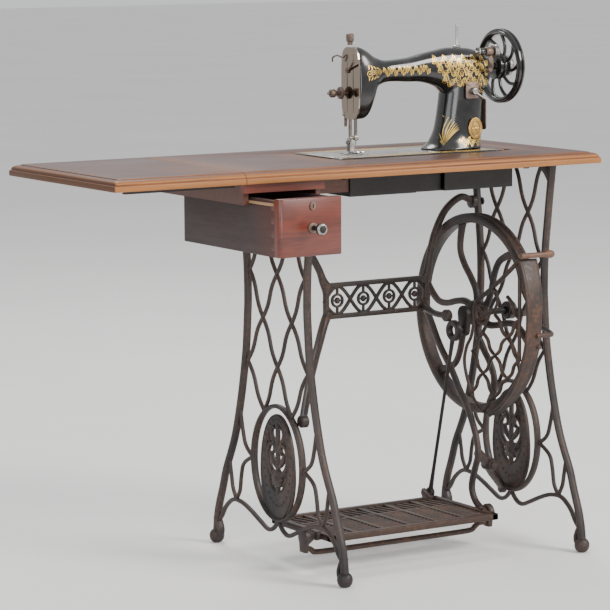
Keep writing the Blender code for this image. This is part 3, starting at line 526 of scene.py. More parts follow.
def medallion(make, x):
    """Oval panel in the ring: beaded border, and a symmetrical leaf spray over a rosette."""
    outer, inner = ellipse((0, 187), 57, 101, 60), ellipse((0, 205), 40, 66, 60)
    middle = [((a + c) / 2, (b + d) / 2) for (a, b), (c, d) in zip(outer, inner)]
    wide = [hypot(a - c, b - d) / 2 for (a, b), (c, d) in zip(outer, inner)]
    make.sweep(across_x(x, middle), wide, 3.2, AXIS_X, SQUARE, closed=True)
    for line, half in ((outer, 2.2), (inner, 2.0)):
        make.sweep(across_x(x, line), half, 4.6, AXIS_X, closed=True)
    for k in range(0, 60, 2):
        u, v = middle[k]
        for side in (1, -1):
            make.ball((x + side * 3.0, u, v), min(3.0, wide[k] * 0.45), (0.8, 1, 1), 6)
    for side in (1, -1):
        spray = [(0, 152), (15, 172), (31, 190), (36, 212), (26, 230), (13, 230), (11, 219), (18, 214)]
        bud = [(0, 214), (13, 234), (22, 250), (18, 264), (9, 262)]
        for points, wide, drop, thick in ((spray, 5.2, 2.2, 4.4), (bud, 4.6, 2.0, 4.2)):
            line = smooth([(x, side * u, v) for u, v in points], 6)
            make.sweep(line, taper(line, wide, drop), thick, AXIS_X, SOFT)
        leaf = smooth([(x, side * u, v) for u, v in ((4, 186), (14, 196), (22, 208), (24, 216))], 6)
        make.sweep(leaf, [1.6 + 4.2 * sin(pi * i / (len(leaf) - 1)) for i in range(len(leaf))], 4.0, AXIS_X, SOFT)
        make.sweep(smooth([(x, side * u, v) for u, v in ((24, 160), (32, 168), (38, 182))], 5), 3.6, 3.6, AXIS_X, SOFT)
        for u, v, r, turn in ((29, 241, 7.5, 0), (30, 176, 6.5, 180)):
            coil = []
            for k in range(28):
                t = k / 27
                a = radians(turn) + 2 * pi * 1.4 * t
                reach = r * (1 - t) + 1
                coil.append((x, side * (u + reach * cos(a)), v + reach * sin(a)))
            make.sweep(coil, 2.4, 3.6, AXIS_X)
    stem = smooth([(x, 0, v) for v in (136, 170, 205, 240, 273)], 5)
    make.sweep(stem, 5.0, 4.4, AXIS_X, SOFT)
    make.turned([(4, x - 6.2), (12, x - 5.6), (20, x - 3.6), (21, x), (20, x + 3.6), (12, x + 5.6), (4, x + 6.2)],
                "X", (0, 166), 64, wobble=lambda a: 0.9 + 0.1 * cos(8 * a))
    for side in (1, -1):
        make.ball((x + side * 5.2, 0, 166), 6, (0.6, 1, 1), 8)


def side_frame(inward):
    x = -inward * FRAME_X
    name = "left" if inward > 0 else "right"
    make, deep = Builder(), AXIS_X
    for side in (1, -1):
        bar = smooth([(x, side * y, z) for y, z in BAR_LINE], 3)
        wide = [6.2 + 3.0 * max(0.0, 1 - i / 12) ** 2 for i in range(len(bar))][::-1]
        make.sweep(bar, wide, 7.0, deep, SOFT)
        make.sweep([p + Vector((0, side * 3.6, 0)) for p in bar[:-2]], 1.6, 7.3, deep)
        make.sweep(smooth([(x, side * y, z) for y, z in APRON_LINE], 5), 4.2, 4.2, deep, SOFT)
        for line in lattice_lines():
            make.sweep([(x, side * y, z) for y, z in line], 4.1, 3.9, deep)
        web = [(side * y, z) for y, z in ((72, 749), (129, 749), (123, 706), (118, 716), (108, 728), (92, 740))]
        make.slab(web, "yz", x - 4.5, x + 4.5, 1.2)
        foot = [(5.0, 0.0), (6.6, 0.0), (10.5, 2.2), (13.6, 6.5), (15, 12.5), (14.6, 17.5), (12.6, 22), (9, 25.6),
                (5.6, 27)]
        make.turned(foot, "Z", (x, side * FOOT), 32)
        curl = smooth([(x, side * 232, 52), (x, side * 224, 40), (x, side * 219, 28), (x, side * 221, 17),
                       (x, side * 229, 11), (x, side * 236, 15), (x, side * 235, 20)], 6)
        make.sweep(curl, taper(curl, 5.0, 2.6), 8.5, deep, SOFT)
    ring = ellipse((0, 195), 88, 110, 96)
    make.sweep(across_x(x, ring), 4.2, 6.0, deep, SOFT, closed=True)
    for side in (1, -1):
        make.sweep([(x + side * 5.6, u, v) for u, v in ring], 2.4, 2.2, deep, closed=True)
    medallion(make, x)
    make.slab(rectangle(x - inward * 14, x + inward * 14, -150, 150),
              "xy", 746.6, 752.4, 1.2)
    for y in (-150, 120):
        ear = [(x + inward * 10, y), (x + inward * 72, y), (x + inward * 80, y + 8), (x + inward * 80, y + 22),
               (x + inward * 72, y + 30), (x + inward * 10, y + 30)]
        make.slab(ear, "xy", 746.6, 752.4, 1.2)
        make.turned([(6, 743.8), (6, 745.6), (7.6, 746.6)], "Z", (x + inward * 66, y + 15), 16)
    if inward > 0:
        inner = x + 3.5
        make.turned([(12, inner - 7), (16, inner - 4), (16.5, inner + 2), (15, inner + 6), (12.5, inner + 10),
                     (9, inner + 16), (7.2, -250.2)], "X", TREADLE_PIVOT, 32)
        make.slab([(-97, 38), (-79, 38), (-76, 62), (-100, 62)], "yz", inner - 6, inner + 3.5, 1.5)
    else:
        make.turned([(8, x - 10), (15, x - 10), (18, x - 7), (18, x + 7), (15, x + 10), (8, x + 10)], "X",
                    CRANK, 32, closed=True)
        for low, high in ((-42, -6), (26, 42)):
            make.slab(rectangle(low, high, 440, 454), "yz", x - 5, x + 5, 1.6)
    make.done(f"{name}_frame_casting", IRON, "stand", "cast_iron", f"{name}_side_frame")


for direction in (1, -1):
    side_frame(direction)


# ---------------------------------------------------------------- cross brace

PLATE = (-96.0, 148.0, 444.0, 515.0)
BRACE_Y = 115.0


def cross_brace():
    left, right, low, high = PLATE
    make, deep = Builder(), AXIS_Y
    for (x0, x1), (z0, z1) in (((left, right), (low, low + 9)), ((left, right), (high - 9, high)),
                               ((left, left + 9), (low, high)), ((right - 9, right), (low, high))):
        make.slab(rectangle(x0, x1, z0, z1), "xz", BRACE_Y - 6, BRACE_Y + 6, 1.6)
    middle, swing, waves = (low + high) / 2, (high - low) / 2 - 8, 4
    for phase in (0.0, pi):
        wave = [(left + (right - left) * k / 96, BRACE_Y + (1.0 if phase else -1.0),
                 middle + swing * sin(phase + waves * pi * k / 96)) for k in range(97)]
        make.sweep(wave, 3.4, 3.6, deep, SOFT)
    for k in range(waves):
        centre = left + (right - left) * (k + 0.5) / waves
        make.sweep([(u, BRACE_Y, v) for u, v in ellipse((centre, middle), 12, 12, 32)], 2.5, 3.6, deep, SOFT,
                   closed=True)
        make.ball((centre, BRACE_Y, middle), 6.5, (1, 0.7, 1), 10)
        for a, b in ((middle + 10, high - 6), (low + 6, middle - 10)):
            make.sweep([(centre, BRACE_Y, a), (centre, BRACE_Y, (a + b) / 2), (centre, BRACE_Y, b)], 2.4, 3.4, deep,
                       SOFT)
        for side in (1, -1):
            make.sweep([(centre + side * 6, BRACE_Y, middle), (centre + side * 12, BRACE_Y, middle)], 1.8, 2.6, deep,
                       SOFT)
    arms = (((138, 500), (148, 520), (154, 552), (166, 597), (192, 643), (228, 667), (252, 660), (264, 656)),
            ((-86, 500), (-98, 520), (-108, 544), (-132, 582), (-170, 628), (-215, 653), (-264, 656)))
    for points in arms:
        line = smooth([(x, BRACE_Y, z) for x, z in points], 8)
        wide = [7 + 7 * max(0.0, 1 - 3.2 * i / len(line)) ** 2 for i in range(len(line))]
        make.sweep(line, wide, 6.5, deep, SOFT)
    for side in (1, -1):
        make.turned([(9, side * 253), (13, side * 255), (13, side * 264), (11, side * 266.2)], "X",
                    (BRACE_Y + 3, 656), 24)
    lower = smooth([(-86, 115, 458), (-98, 112, 436), (-122, 92, 404), (-150, 64, 376), (-190, 20, 340),
                    (-235, -35, 302), (-256, -62, 286)], 8)
    make.sweep(lower, taper(lower, 8.5, 2), None, None, SOFT)
    make.turned([(9, -249), (12, -251), (12, -263), (10, -265.3)], "X", (-65, 284), 24)
    hanger = [(136, 114, 458), (148, 114, 440), (153, 107, 421), (154, 79, 378), (154, 37, 333), (154, 9, 296),
              (154, -15, 270), (154, -32, 242), (154, -48, 208), (154, -54, 176), (154, -42, 142), (154, -33, 108),
              (154, -46, 82), (154, -74, 66)]
    make.sweep(smooth(hanger, 6), 6.6, 5.6, (1, 0.02, 0), SOFT)
    make.turned([(8.5, 148), (15, 148), (17, 150), (17, 158), (15, 160), (8.5, 160)], "X", TREADLE_PIVOT, 32,
        closed=True)
    make.slab([(-96, 39), (-80, 39), (-78, 54), (-98, 54)], "yz", 148.4, 159.6, 1.6)
    branch = smooth([(155, -52, 180), (178, -40, 162), (215, -16, 128), (240, -2, 106), (258, 9, 90)], 8)
    make.sweep(branch, taper(branch, 8.5, 1.5), None, None, SOFT)
    make.turned([(7, 252), (10, 254), (10, 264), (8, 265.3)], "X", (10, 88), 20)
    make.turned([(6, -48), (10, -48), (13, -44), (13, -22), (10, -20)], "Y", (196, 150), 24)
    make.turned([(4, -51), (7, -50.6), (7, -47.5)], "Y", (196, 150), 6)
    hook = smooth([(138, 113, 462), (134, 96, 452), (127, 68, 448), (125, 42, 446), (125, 16, 447)], 8)
    make.sweep(hook, [8.5 - 2.5 * min(1, 2 * i / len(hook)) for i in range(len(hook))], None, None, SOFT)
    make.turned([(5, 117.6), (10, 118), (12, 120), (12, 129), (10, 131.4)], "X", (12, 447), 24)
    make.done("brace_casting", IRON, "stand", "cast_iron", "cross_brace")
    for side, name in ((-1, "left"), (1, "right")):
        outer = side * (FRAME_X + 7.4)
        bolt = Builder().turned([(6, outer), (8.4, outer + side * 0.6), (8.6, outer + side * 3.6),
                                 (7.6, outer + side * 4.4), (4.5, outer + side * 4.6), (4.2, outer + side * 6.2)],
                                "X", (BRACE_Y + 3, 656), 6)
        bolt.done(f"brace_bolt_head_{name}", IRON_DARK, "stand", "dark_iron", f"brace_bolt_{name}")


cross_brace()


def cross_rod():
    start = -FRAME_X + 7.4
    points = [(start, -88, 44), (start + 6, -88, 44), (start + 13, -88, 40), (start + 20, -88, 36), (-200, -88, 35),
              (-100, -88, 35), (0, -88, 35), (70, -88, 35), (112, -88, 36), (122, -88, 42), (132, -88, 48),
              (147.6, -88, 48)]
    Builder().sweep(smooth(points, 4), 5.4, None, None, rounded(16, 2.0)).done(
        "cross_rod", IRON_BROWN, "stand", "cast_iron", "treadle_cross_rod")


cross_rod()


# ---------------------------------------------------------------- wheel guard

GUARD_X = 153.5
GUARD_FROM, GUARD_TO = 147.4, 241.6


def guard_point(angle, offset=0.0):
    """Point of the shield, which draws in towards its lower end."""
    radius = 237 - 25 * (angle - GUARD_FROM) / (GUARD_TO - GUARD_FROM) + offset
    return polar(CRANK, radius, angle)


def wheel_guard():
    make, deep = Builder(), AXIS_X
    angles = [GUARD_FROM + (GUARD_TO - GUARD_FROM) * k / 64 for k in range(65)]
    rings = []
    for k, angle in enumerate(angles):
        far = 192.6 - 17 * min(1.0, k / 40)
        mid = (151 + far) / 2
        section = [(151, 1.6), (mid - 8, 2.6), (mid, 3.0), (mid + 8, 2.6), (far, 1.6), (far, -1.2), (mid, -1.6),
                   (151, -1.2)]
        rings.append([(x, *guard_point(angle, offset * 0.8)) for x, offset in section])
    make.rings(rings)
    make.sweep([(GUARD_X, *guard_point(a, -1)) for a in angles], 3.8, 3.8, deep, SOFT)
    make.sweep([(191 - 17 * min(1.0, k / 40), *guard_point(a, 0)) for k, a in enumerate(angles)], 2.4, 2.4, deep)
    make.ball((182, *guard_point(190, 3.0)), 5.0, (1, 0.7, 1))
    make.sweep(smooth([(GUARD_X, -190, 575), (GUARD_X, -158, 551), (GUARD_X, -110, 518), (GUARD_X, -60, 487)], 4),
        4.2, 4.0, deep, SOFT)
    make.sweep(across_x(GUARD_X, ellipse((-66, 456), 19, 19, 36)), 3.4, 3.4, deep, closed=True)
    inner_curl = ellipse((-66, 456), 9, 9, 18, 40, 290)
    make.sweep(across_x(GUARD_X, [(-54, 472)] + inner_curl), 2.6, 3.0, deep)
    free_edge = [(-60, 489), (-46, 478), (-38, 462), (-38, 435), (-30, 408), (-14, 384), (-8, 350), (-29, 301),
                 (-58, 270), (-96, 260)]
    make.sweep(smooth(across_x(GUARD_X, free_edge), 6), 3.2, 3.4, deep)
    loop = [(-85, 456), (-104, 466), (-118, 486), (-112, 508), (-94, 508)]
    make.sweep(smooth(across_x(GUARD_X, loop), 6), 2.8, 3.2, deep)
    columns, rows = (-34, -70, -110, -150, -190, -222), (540, 500, 460, 420, 380, 340, 300, 268)
    for i, (first, last) in enumerate(((3, 6), (3, 7), (2, 7), (1, 7), (0, 6))):
        knots = [(columns[i + (r + i) % 2], rows[r]) for r in range(first, last + 1)]
        knots = [(y, z) for y, z in knots if hypot(y - CRANK[0], z - CRANK[1]) < 226]
        line = [Vector((GUARD_X, y, z)) for y, z in strand(knots, 8, 0.75)]
        make.sweep(line, 3.7, 3.7, deep)
    link = smooth([(172, -219, 430), (192, -218, 430), (214, -211, 429), (240, -165, 428), (260, -116, 428)], 6)
    make.sweep(link, 4.8)
    make.turned([(5, 256), (7, 258), (7, 265), (6, 266.3)], "X", (-113, 428), 20)
    make.done("guard_casting", IRON_BROWN, "stand", "cast_iron", "wheel_guard")
    stud = Builder().turned([(3, 148.2), (5.6, 149), (6, 151), (5.4, 160), (5.2, 205), (6.4, 209), (7.6, 213),
                             (8, 218), (7.2, 223), (4.6, 226.4), (1.5, 227)], "X", (-199, 583), 24)
    stud.done("guard_stud_bar", IRON_RUST, "stand", "rusty_iron", "guard_stud")


wheel_guard()


# ---------------------------------------------------------------- drive

def flywheel():
    rim = Builder()
    rim.turned([(179, 189), (180, 185), (184, 182.6), (190, 182), (195, 182.6), (198, 185), (198.4, 188),
                (198.4, 190), (196, 192.5), (195.4, 196), (196, 199.5), (198.4, 202), (198.4, 205), (198, 207.6),
                (195, 209.6), (190, 210), (184, 209.4), (180, 207), (179, 203)], "X", CRANK, 128, closed=True)
    spoke_line = ((18, 0), (45, -10), (72, -22), (102, -30), (130, -31), (153, -27), (182, -21))
    for k in range(6):
        line = smooth([(196, *polar(CRANK, r, 95 + 60 * k + bend)) for r, bend in spoke_line], 6)
        half = waist(line, 6.6, 3.4, 4)
        rim.sweep(line, half, 5.4, AXIS_X, SOFT)
    rim.turned([(7, 183), (20, 183), (24, 185), (26, 190), (27, 196), (26, 202), (23, 207), (19, 209), (7, 209)],
               "X", CRANK, 48, closed=True)
    rim.done("drive_wheel_casting", IRON, "drive_wheel", "cast_iron", "flywheel")
    shaft = Builder().turned([(5.4, 161), (6.4, 162), (6.4, 280), (5.4, 281)], "X", CRANK, 24)
    web = ellipse(CRANK, 17, 17, 20, 0, 180) + ellipse(CRANK_PIN, 13, 13, 20, 180, 180)
    shaft.slab(web, "yz", 160, 171, 1.4)
    shaft.turned([(6, 147), (7, 148), (7, 162)], "X", CRANK_PIN, 24)
    shaft.done("crank_forging", IRON_DARK, "drive_wheel", "steel", "crank_shaft")


flywheel()

TREADLE = (-240.0, 146.0, -133.0, 80.0)


def treadle():
    left, right, front, back = TREADLE
    y, z = TREADLE_PIVOT
    make = Builder()
    corners = [(left + 6, front + 6), (right - 6, front + 6), (right - 6, back - 6), (left + 6, back - 6)]
    for (x0, y0), (x1, y1) in zip(corners, corners[1:] + corners[:1]):
        make.slab([(min(x0, x1) - 6, min(y0, y1) - 6), (max(x0, x1) + 6, min(y0, y1) - 6),
                   (max(x0, x1) + 6, max(y0, y1) + 6), (min(x0, x1) - 6, max(y0, y1) + 6)], "xy", z - 6.5, z + 6.5,
                  1.8)
    bays = 6
    pitch = (right - left - 12) / bays
    for k in range(1, bays):
        x = left + 6 + pitch * k
        make.slab(rectangle(x - 4.5, x + 4.5, front + 4, back - 4), "xy",
                  z - 3.4, z + 4.2, 1.2)
    for k in range(bays):
        x = left + 6 + pitch * k
        for row in range(10):
            y0 = front + 16 + row * 12.4
            slat = [Vector((x + 3, y0, z)), Vector((x + pitch / 2, y0 + 1.5, z)), Vector((x + pitch - 3, y0, z))]
            make.sweep(smooth(slat, 4), 2.6, 2.8, AXIS_Z, SOFT)
        make.slab(rectangle(x + 3, x + pitch - 3, back - 80, back - 73),
                  "xy", z - 3.2, z + 3.6, 1.0)
        for a in (0.06, 0.32, 0.58):
            make.sweep([Vector((x + pitch * a + 3, back - 6, z)), Vector((x + pitch * (a + 0.16) + 4, back - 42, z)),
                        Vector((x + pitch * (a + 0.3) + 3, back - 76, z))], 2.4, 3.0, AXIS_Z, SOFT)
    make.turned([(11, 136), (13, 139), (11, 145.6)], "X", (y, z), 24)
    make.slab([(back - 12, z - 6), (96, 69), (101, 78), (97, 87), (back - 14, z + 6.4)], "yz", 122, 132.5, 2)
    make.turned([(3.2, 128), (4, 130), (4, 145.4), (3, 146.4)], "X", PITMAN_FOOT, 20)
    make.done("treadle_casting", IRON_BROWN, "treadle", "cast_iron", "treadle_plate")
    pins = Builder()
    for x0, x1, r in ((-236, -248.8, 9), (146, 167.8, 6.5)):
        pins.turned([(r, x0), (r, x1 - copysign(3, x1)), (0.8 * r, x1 - copysign(0.8, x1)), (0.4 * r, x1)],
                    "X", (y, z), 32)
    pins.done("treadle_trunnions", IRON_BROWN, "treadle", "cast_iron")


treadle()


def pitman():
    foot, eye = Vector((140, *PITMAN_FOOT)), Vector((140, *CRANK_PIN))
    along = (eye - foot).normalized()
    low, high = foot + along * 7, eye - along * 17
    line = [low + (high - low) * k / 24 for k in range(25)]
    half = [3.4 + 1.6 * (abs(k / 24 - 0.5) * 2) ** 6 for k in range(25)]
    rod = Builder().sweep(line, half, None, None, rounded(14, 2.0))
    rod.turned([(11, 134.6), (12, 134), (19, 134), (21, 136), (21, 144), (19, 146), (12, 146), (11, 145.4)], "X",
               CRANK_PIN, 40, closed=True)
    rod.turned([(5.2, 135), (9, 135), (10.5, 137), (10.5, 143), (9, 145), (5.2, 145)], "X", PITMAN_FOOT, 28,
        closed=True)
    rod.done("pitman_bar", IRON_DARK, "pitman", "dark_iron", "pitman_rod")


pitman()


# ---------------------------------------------------------------- table

TABLE_TOP, TABLE_UNDER, DEPTH = 775.0, 753.0, 208.0
TABLE_LEFT, TABLE_RIGHT, LEAF_LEFT, LEAF_RIGHT = -461.5, 336.0, -730.0, -462.5
WELL = (-184.0, 239.5, -84.0, 97.5)
MOULDING = [(753.0, 1.4), (753.5, 0.4), (754.6, 0), (761.6, 0), (763.0, 0.5), (763.9, 1.7), (764.2, 3.0), (765.0, 3.2),
            (766.6, 3.0), (768.6, 3.9), (770.6, 6.2), (772.0, 9.8), (772.7, 14.2), (772.8, 15.8), (773.5, 16.2),
            (774.2, 16.8), (774.8, 18.2), (775.0, 20.2)]


def outline(x0, x1, y0, y1, radii, steps=5):
    """Rectangle with corner radii (right back, left back, left front, right front)."""
    points = []
    corners = ((x1, y1, 0), (x0, y1, 90), (x0, y0, 180), (x1, y0, 270))
    for (cx, cy, start), radius in zip(corners, radii):
        mx = cx - copysign(radius, cx - (x0 + x1) / 2)
        my = cy - copysign(radius, cy - (y0 + y1) / 2)
        points += ellipse((mx, my), radius, radius, steps, start, 90)
    return points


def board_rings(left, right, moulded_left, moulded_right):
    rings = []
    at_left, at_right = 5.0 if moulded_left else 0.4, 5.0 if moulded_right else 0.4
    radii = (at_right, at_left, at_left, at_right)
    for z, inset in MOULDING:
        plain = max(0.0, 0.7 - min(z - TABLE_UNDER, TABLE_TOP - z))
        x0 = left + (inset if moulded_left else plain)
        x1 = right - (inset if moulded_right else plain)
        y = DEPTH - inset
        rings.append([(u, v, z) for u, v in outline(x0, x1, -y, y, radii)])
    return rings


def table():
    x0, x1, y0, y1 = WELL
    rings = board_rings(TABLE_LEFT, TABLE_RIGHT, False, True)
    for z, grow in ((TABLE_TOP, 0.8), (TABLE_TOP - 0.8, 0), (TABLE_UNDER + 0.8, 0), (TABLE_UNDER, 0.8)):
        rings.append([(u, v, z) for u, v in outline(x0 - grow, x1 + grow, y0 - grow, y1 + grow, (2,) * 4)])
    Builder().rings(rings, closed=True).done("table_board", TOP_WOOD, "stand", "mahogany_top", "table_top", angle=50)
    Builder().rings(board_rings(LEAF_LEFT, LEAF_RIGHT, True, False)).done(
        "leaf_board", TOP_WOOD, "leaf", "mahogany_top", "drop_leaf", angle=50)
    finish_node("belt_flap", TOP_WOOD, 0.8)
    finish_node("leaf_batten", IRON_DARK, 0.8)
    for side in ("front", "back"):
        for half in ("fixed", "moving"):
            finish_node(f"leaf_hinge_{side}_{half}", IRON_DARK, 0.5)
    finish_node("case_front_rail", DRAWER_RED, 1.6, 3)
    for rail in ("front_rail", "case_back_rail", "case_left_rail", "case_right_rail"):
        finish_node(rail, DARK_WOOD, 1.2, 3)
    finish_node("drip_pan", BLACK, 1.2, 3)


table()


# ---------------------------------------------------------------- drawer

DRAWER = (-436.0, -304.0, -275.0, 66.0, 625.0, 730.0)


def drawer():
    x0, x1, y0, y1, z0, z1 = DRAWER
    corner = [(x0 + 9 - 9 * sin(a), y0 + 9 - 9 * cos(a)) for a in (k * pi / 20 for k in range(11))]
    front = [(x1, y0 + 17), (x0, y0 + 17)] + corner[::-1] + [(x1 - 3, y0), (x1 - 0.9, y0 + 0.9), (x1, y0 + 3)]
    face = Builder().slab(front, "xy", z0, z1, 1.5)
    face.done("drawer_front_board", DRAWER_RED, "drawer", "mahogany_red", "drawer_front")
    for name, low, high, outer in (("left", x0, x0 + 10, -1), ("right", x1 - 10, x1, 1)):
        side = Builder().block((low, y0 + 17.4, z0), (high, y1, z1 - 3), 1.2)
        side.done(f"drawer_board_{name}", DRAWER_SIDE, "drawer", "drawer_wood", f"drawer_{name}_side")
        edge = low if outer < 0 else high
        strip = sorted((edge + outer * 4.4, edge - outer * 0.5))
        runner = Builder().block((strip[0], y0 + 18.4, 717), (strip[1], y1 - 6, 722), 0.8)
        runner.done(f"drawer_runner_{name}", PALE_WOOD, "drawer", "drawer_wood")
        tails = Builder()
        inside, outside = (edge - 0.4, edge + 0.1) if outer > 0 else (edge - 0.1, edge + 0.4)
        for k in range(4):
            z = z0 + 12 + 24 * k
            tails.block((inside, y0 + 17.6, z), (outside, y0 + 27, z + 12), 0.05)
        tails.done(f"drawer_joints_{name}", DARK_WOOD, "drawer", "drawer_wood")
    Builder().block((x0 + 10.4, y1 - 10, z0 + 2), (x1 - 10.4, y1, z1 - 11), 1.0).done(
        "drawer_back_board", DRAWER_SIDE, "drawer", "drawer_wood", "drawer_back")
    Builder().block((x0 + 10.4, y0 + 17.4, z0 + 4), (x1 - 10.4, y1 - 10.4, z0 + 10), 0.8).done(
        "drawer_bottom_board", PALE_WOOD, "drawer", "drawer_wood", "drawer_bottom")
    kx, kz = -366.0, 676.0
    rose = Builder().turned([(4, y0 - 0.4), (9.4, y0 - 0.4), (10, y0 - 1.2), (9.4, y0 - 2.6), (7.4, y0 - 3.2),
                             (5, y0 - 3.6)], "Y", (kx, kz), 40)
    rose.done("drawer_knob_rose", NICKEL_WORN, "drawer", "dark_iron")
    knob = Builder().turned([(4.4, y0 - 3), (4.4, y0 - 7), (3.9, y0 - 12), (4.2, y0 - 18), (6.2, y0 - 21),
                             (8.8, y0 - 23.4), (10.6, y0 - 26.6), (11, y0 - 29.4), (10.2, y0 - 32.4), (8, y0 - 34.4),
                             (7.2, y0 - 34.0), (5, y0 - 34.6), (2, y0 - 35.8)], "Y", (kx, kz), 48)
    knob.done("drawer_knob_turning", IRON_DARK, "drawer", "dark_iron", "drawer_knob")
    ring = Builder().turned([(9.6, y0 - 31.6), (10.6, y0 - 32.0), (9.0, y0 - 34.4), (7.4, y0 - 34.8), (6.6, y0 - 34.0),
                             (8.4, y0 - 32.6)], "Y", (kx, kz), 48, closed=True)
    ring.done("drawer_knob_ring", NICKEL, "drawer", "dark_iron")
    finish_node("drawer_escutcheon", NICKEL_WORN, 0.3)


drawer()


# ---------------------------------------------------------------- head

BED_TOP = 777.5
SHAFT = (3.0, 934.0)
NEEDLE = (-94.0, 3.0)


def oval(centre, half_a, half_b, count=48, power=2.6):
    points = []
    for k in range(count):
        t = 2 * pi * k / count
        c, s = cos(t), sin(t)
        points.append((centre[0] + half_a * copysign(abs(c) ** (2 / power), c),
                       centre[1] + half_b * copysign(abs(s) ** (2 / power), s)))
    return points


def evaluated(obj, modifiers=()):
    """Bakes an object's modifiers into its mesh and drops the objects that they used."""
    graph = bpy.context.evaluated_depsgraph_get()
    graph.update()
    mesh = bpy.data.meshes.new_from_object(obj.evaluated_get(graph))
    obj.modifiers.clear()
    obj.data = mesh
    for used in modifiers:
        bpy.data.objects.remove(used)
    return obj


def tool(builder):
    """A shape that only cuts another."""
    return closed_mesh("tool", [at(*p) for p in builder.points], builder.faces)


def cut(obj, *builders):
    used = [tool(builder) for builder in builders]
    for cutter in used:
        made = obj.modifiers.new("cut", "BOOLEAN")
        made.operation, made.solver, made.object = "DIFFERENCE", "EXACT", cutter
    return evaluated(obj, used)


def bed():
    x0, x1, y0, y1 = -182.0, 189.0, -82.0, 96.0
    rings = []
    for z, inset in ((758, 1.6), (758.8, 0.4), (760, 0), (767, 0), (768.2, 0.5), (768.6, 1.5), (769.6, 1.6),
                     (772.5, 1.8), (775.2, 2.8), (776.8, 4.6), (777.4, 6.8), (BED_TOP, 9)):
        rings.append([(u, v, z) for u, v in outline(x0 + inset, x1 - inset, y0 + inset, y1 - inset, (9,) * 4, 8)])
    body = Builder().rings(rings)
    casting = body.done("bed_body", JAPAN, "head", "black_japan", "bed_casting")
    cut(casting, Builder().block((x0 - 5, -45.7, BED_TOP - 2.5), (-122, 45.7, BED_TOP + 5), 0.01),
        Builder().turned([(25.7, BED_TOP - 2.5), (25.7, BED_TOP + 5)], "Z", NEEDLE, 64),
        Builder().block((-150, -20, 750), (-84, 20, BED_TOP + 5), 0.01))
    sharpen(casting, 40)
    Builder().block((-60, -8, 726), (150, 8, 757.8), 2).done("bed_bearer", IRON_DARK, "head", "black_japan")
    slide = Builder().block((x0 + 0.6, -45, BED_TOP - 2), (-123, 45, BED_TOP + 0.2), 0.35)
    slide_obj = slide.done("slide_cover", NICKEL, "bed_slide", "nickel", "slide_plate")
    cut(slide_obj, Builder().turned([(26.4, 760), (26.4, 790)], "Z", NEEDLE, 64),
        Builder().turned([(7, 777.1), (7, 790)], "Z", (-166, 0), 40))
    sharpen(slide_obj, 30)
    finish_node("needle_plate", NICKEL, 0.25)
    finish_node("feed_dog", STEEL, 0.15)
    finish_node("shuttle_hook", STEEL, 0.6)
    screws = Builder()
    for x, y in ((-94, 21), (-94, -16)):
        screws.turned([(3.2, BED_TOP + 0.3), (3.2, BED_TOP + 0.7), (2.6, BED_TOP + 0.9)], "Z", (x, y), 24)
    screws.done("needle_plate_screws", STEEL, "head", "steel")


def spline(table, steps):
    """Rows of numbers, interpolated smoothly between the given ones."""
    rows = []
    for i in range(len(table) - 1):
        a, b, c, d = table[max(i - 1, 0)], table[i], table[i + 1], table[min(i + 2, len(table) - 1)]
        for k in range(steps):
            t = k / steps
            rows.append([0.5 * (2 * q + (r - p) * t + (2 * p - 5 * q + 4 * r - s) * t * t
                                + (3 * q - p - 3 * r + s) * t ** 3) for p, q, r, s in zip(a, b, c, d)])
    rows.append(list(table[-1]))
    return rows


def arm():
    sections = ((-104, 844, 980, 31), (-92, 843, 981, 33), (-78, 847, 975, 33), (-68, 868, 968, 31),
                (-56, 898, 961, 27), (-30, 911, 954, 23), (20, 910, 957, 22), (55, 908, 964, 23),
                (88, 898, 970, 26), (116, 880, 974, 29), (160, 876, 972, 31), (190, 884, 963, 30), (203, 900, 952, 25))
    heights = ((BED_TOP + 0.4, 62, 188, 44), (781, 66, 188, 42), (788, 76, 188.4, 39), (796, 82, 189, 36),
               (815, 91, 190, 33), (850, 98, 192, 31), (892, 104, 196, 31), (930, 108, 200, 29), (958, 116, 192, 24))
    shape = Builder()
    shape.rings([[(x, y, z) for y, z in oval((1, (low + high) / 2), half, (high - low) / 2)]
                 for x, low, high, half in spline(sections, 5)])
    shape.rings([[(x, y, z) for x, y in oval(((a + b) / 2, 1), (b - a) / 2, half + 2, 48, 2.3)]
                 for z, a, b, half in spline(heights, 5)])
    obj = shape.done("arm_body", JAPAN, "head", "black_japan", "arm_casting")
    remesh = obj.modifiers.new("blend", "REMESH")
    remesh.mode, remesh.voxel_size = "VOXEL", 1.7 * MM
    soft = obj.modifiers.new("soft", "SMOOTH")
    soft.factor, soft.iterations = 0.5, 12
    evaluated(obj)
    obj.data.shade_smooth()
    cut(obj, Builder().turned([(4.5, 832), (4.5, 992)], "Z", NEEDLE, 24),
        Builder().turned([(4.5, 832), (4.5, 992)], "Z", (-94, 22), 24))
    sharpen(obj, 50)
    return obj


bed()
ARM = arm()


def surface(obj):
    """Search tree over an object's surface."""
    graph = bpy.context.evaluated_depsgraph_get()
    return BVHTree.FromObject(obj, graph)


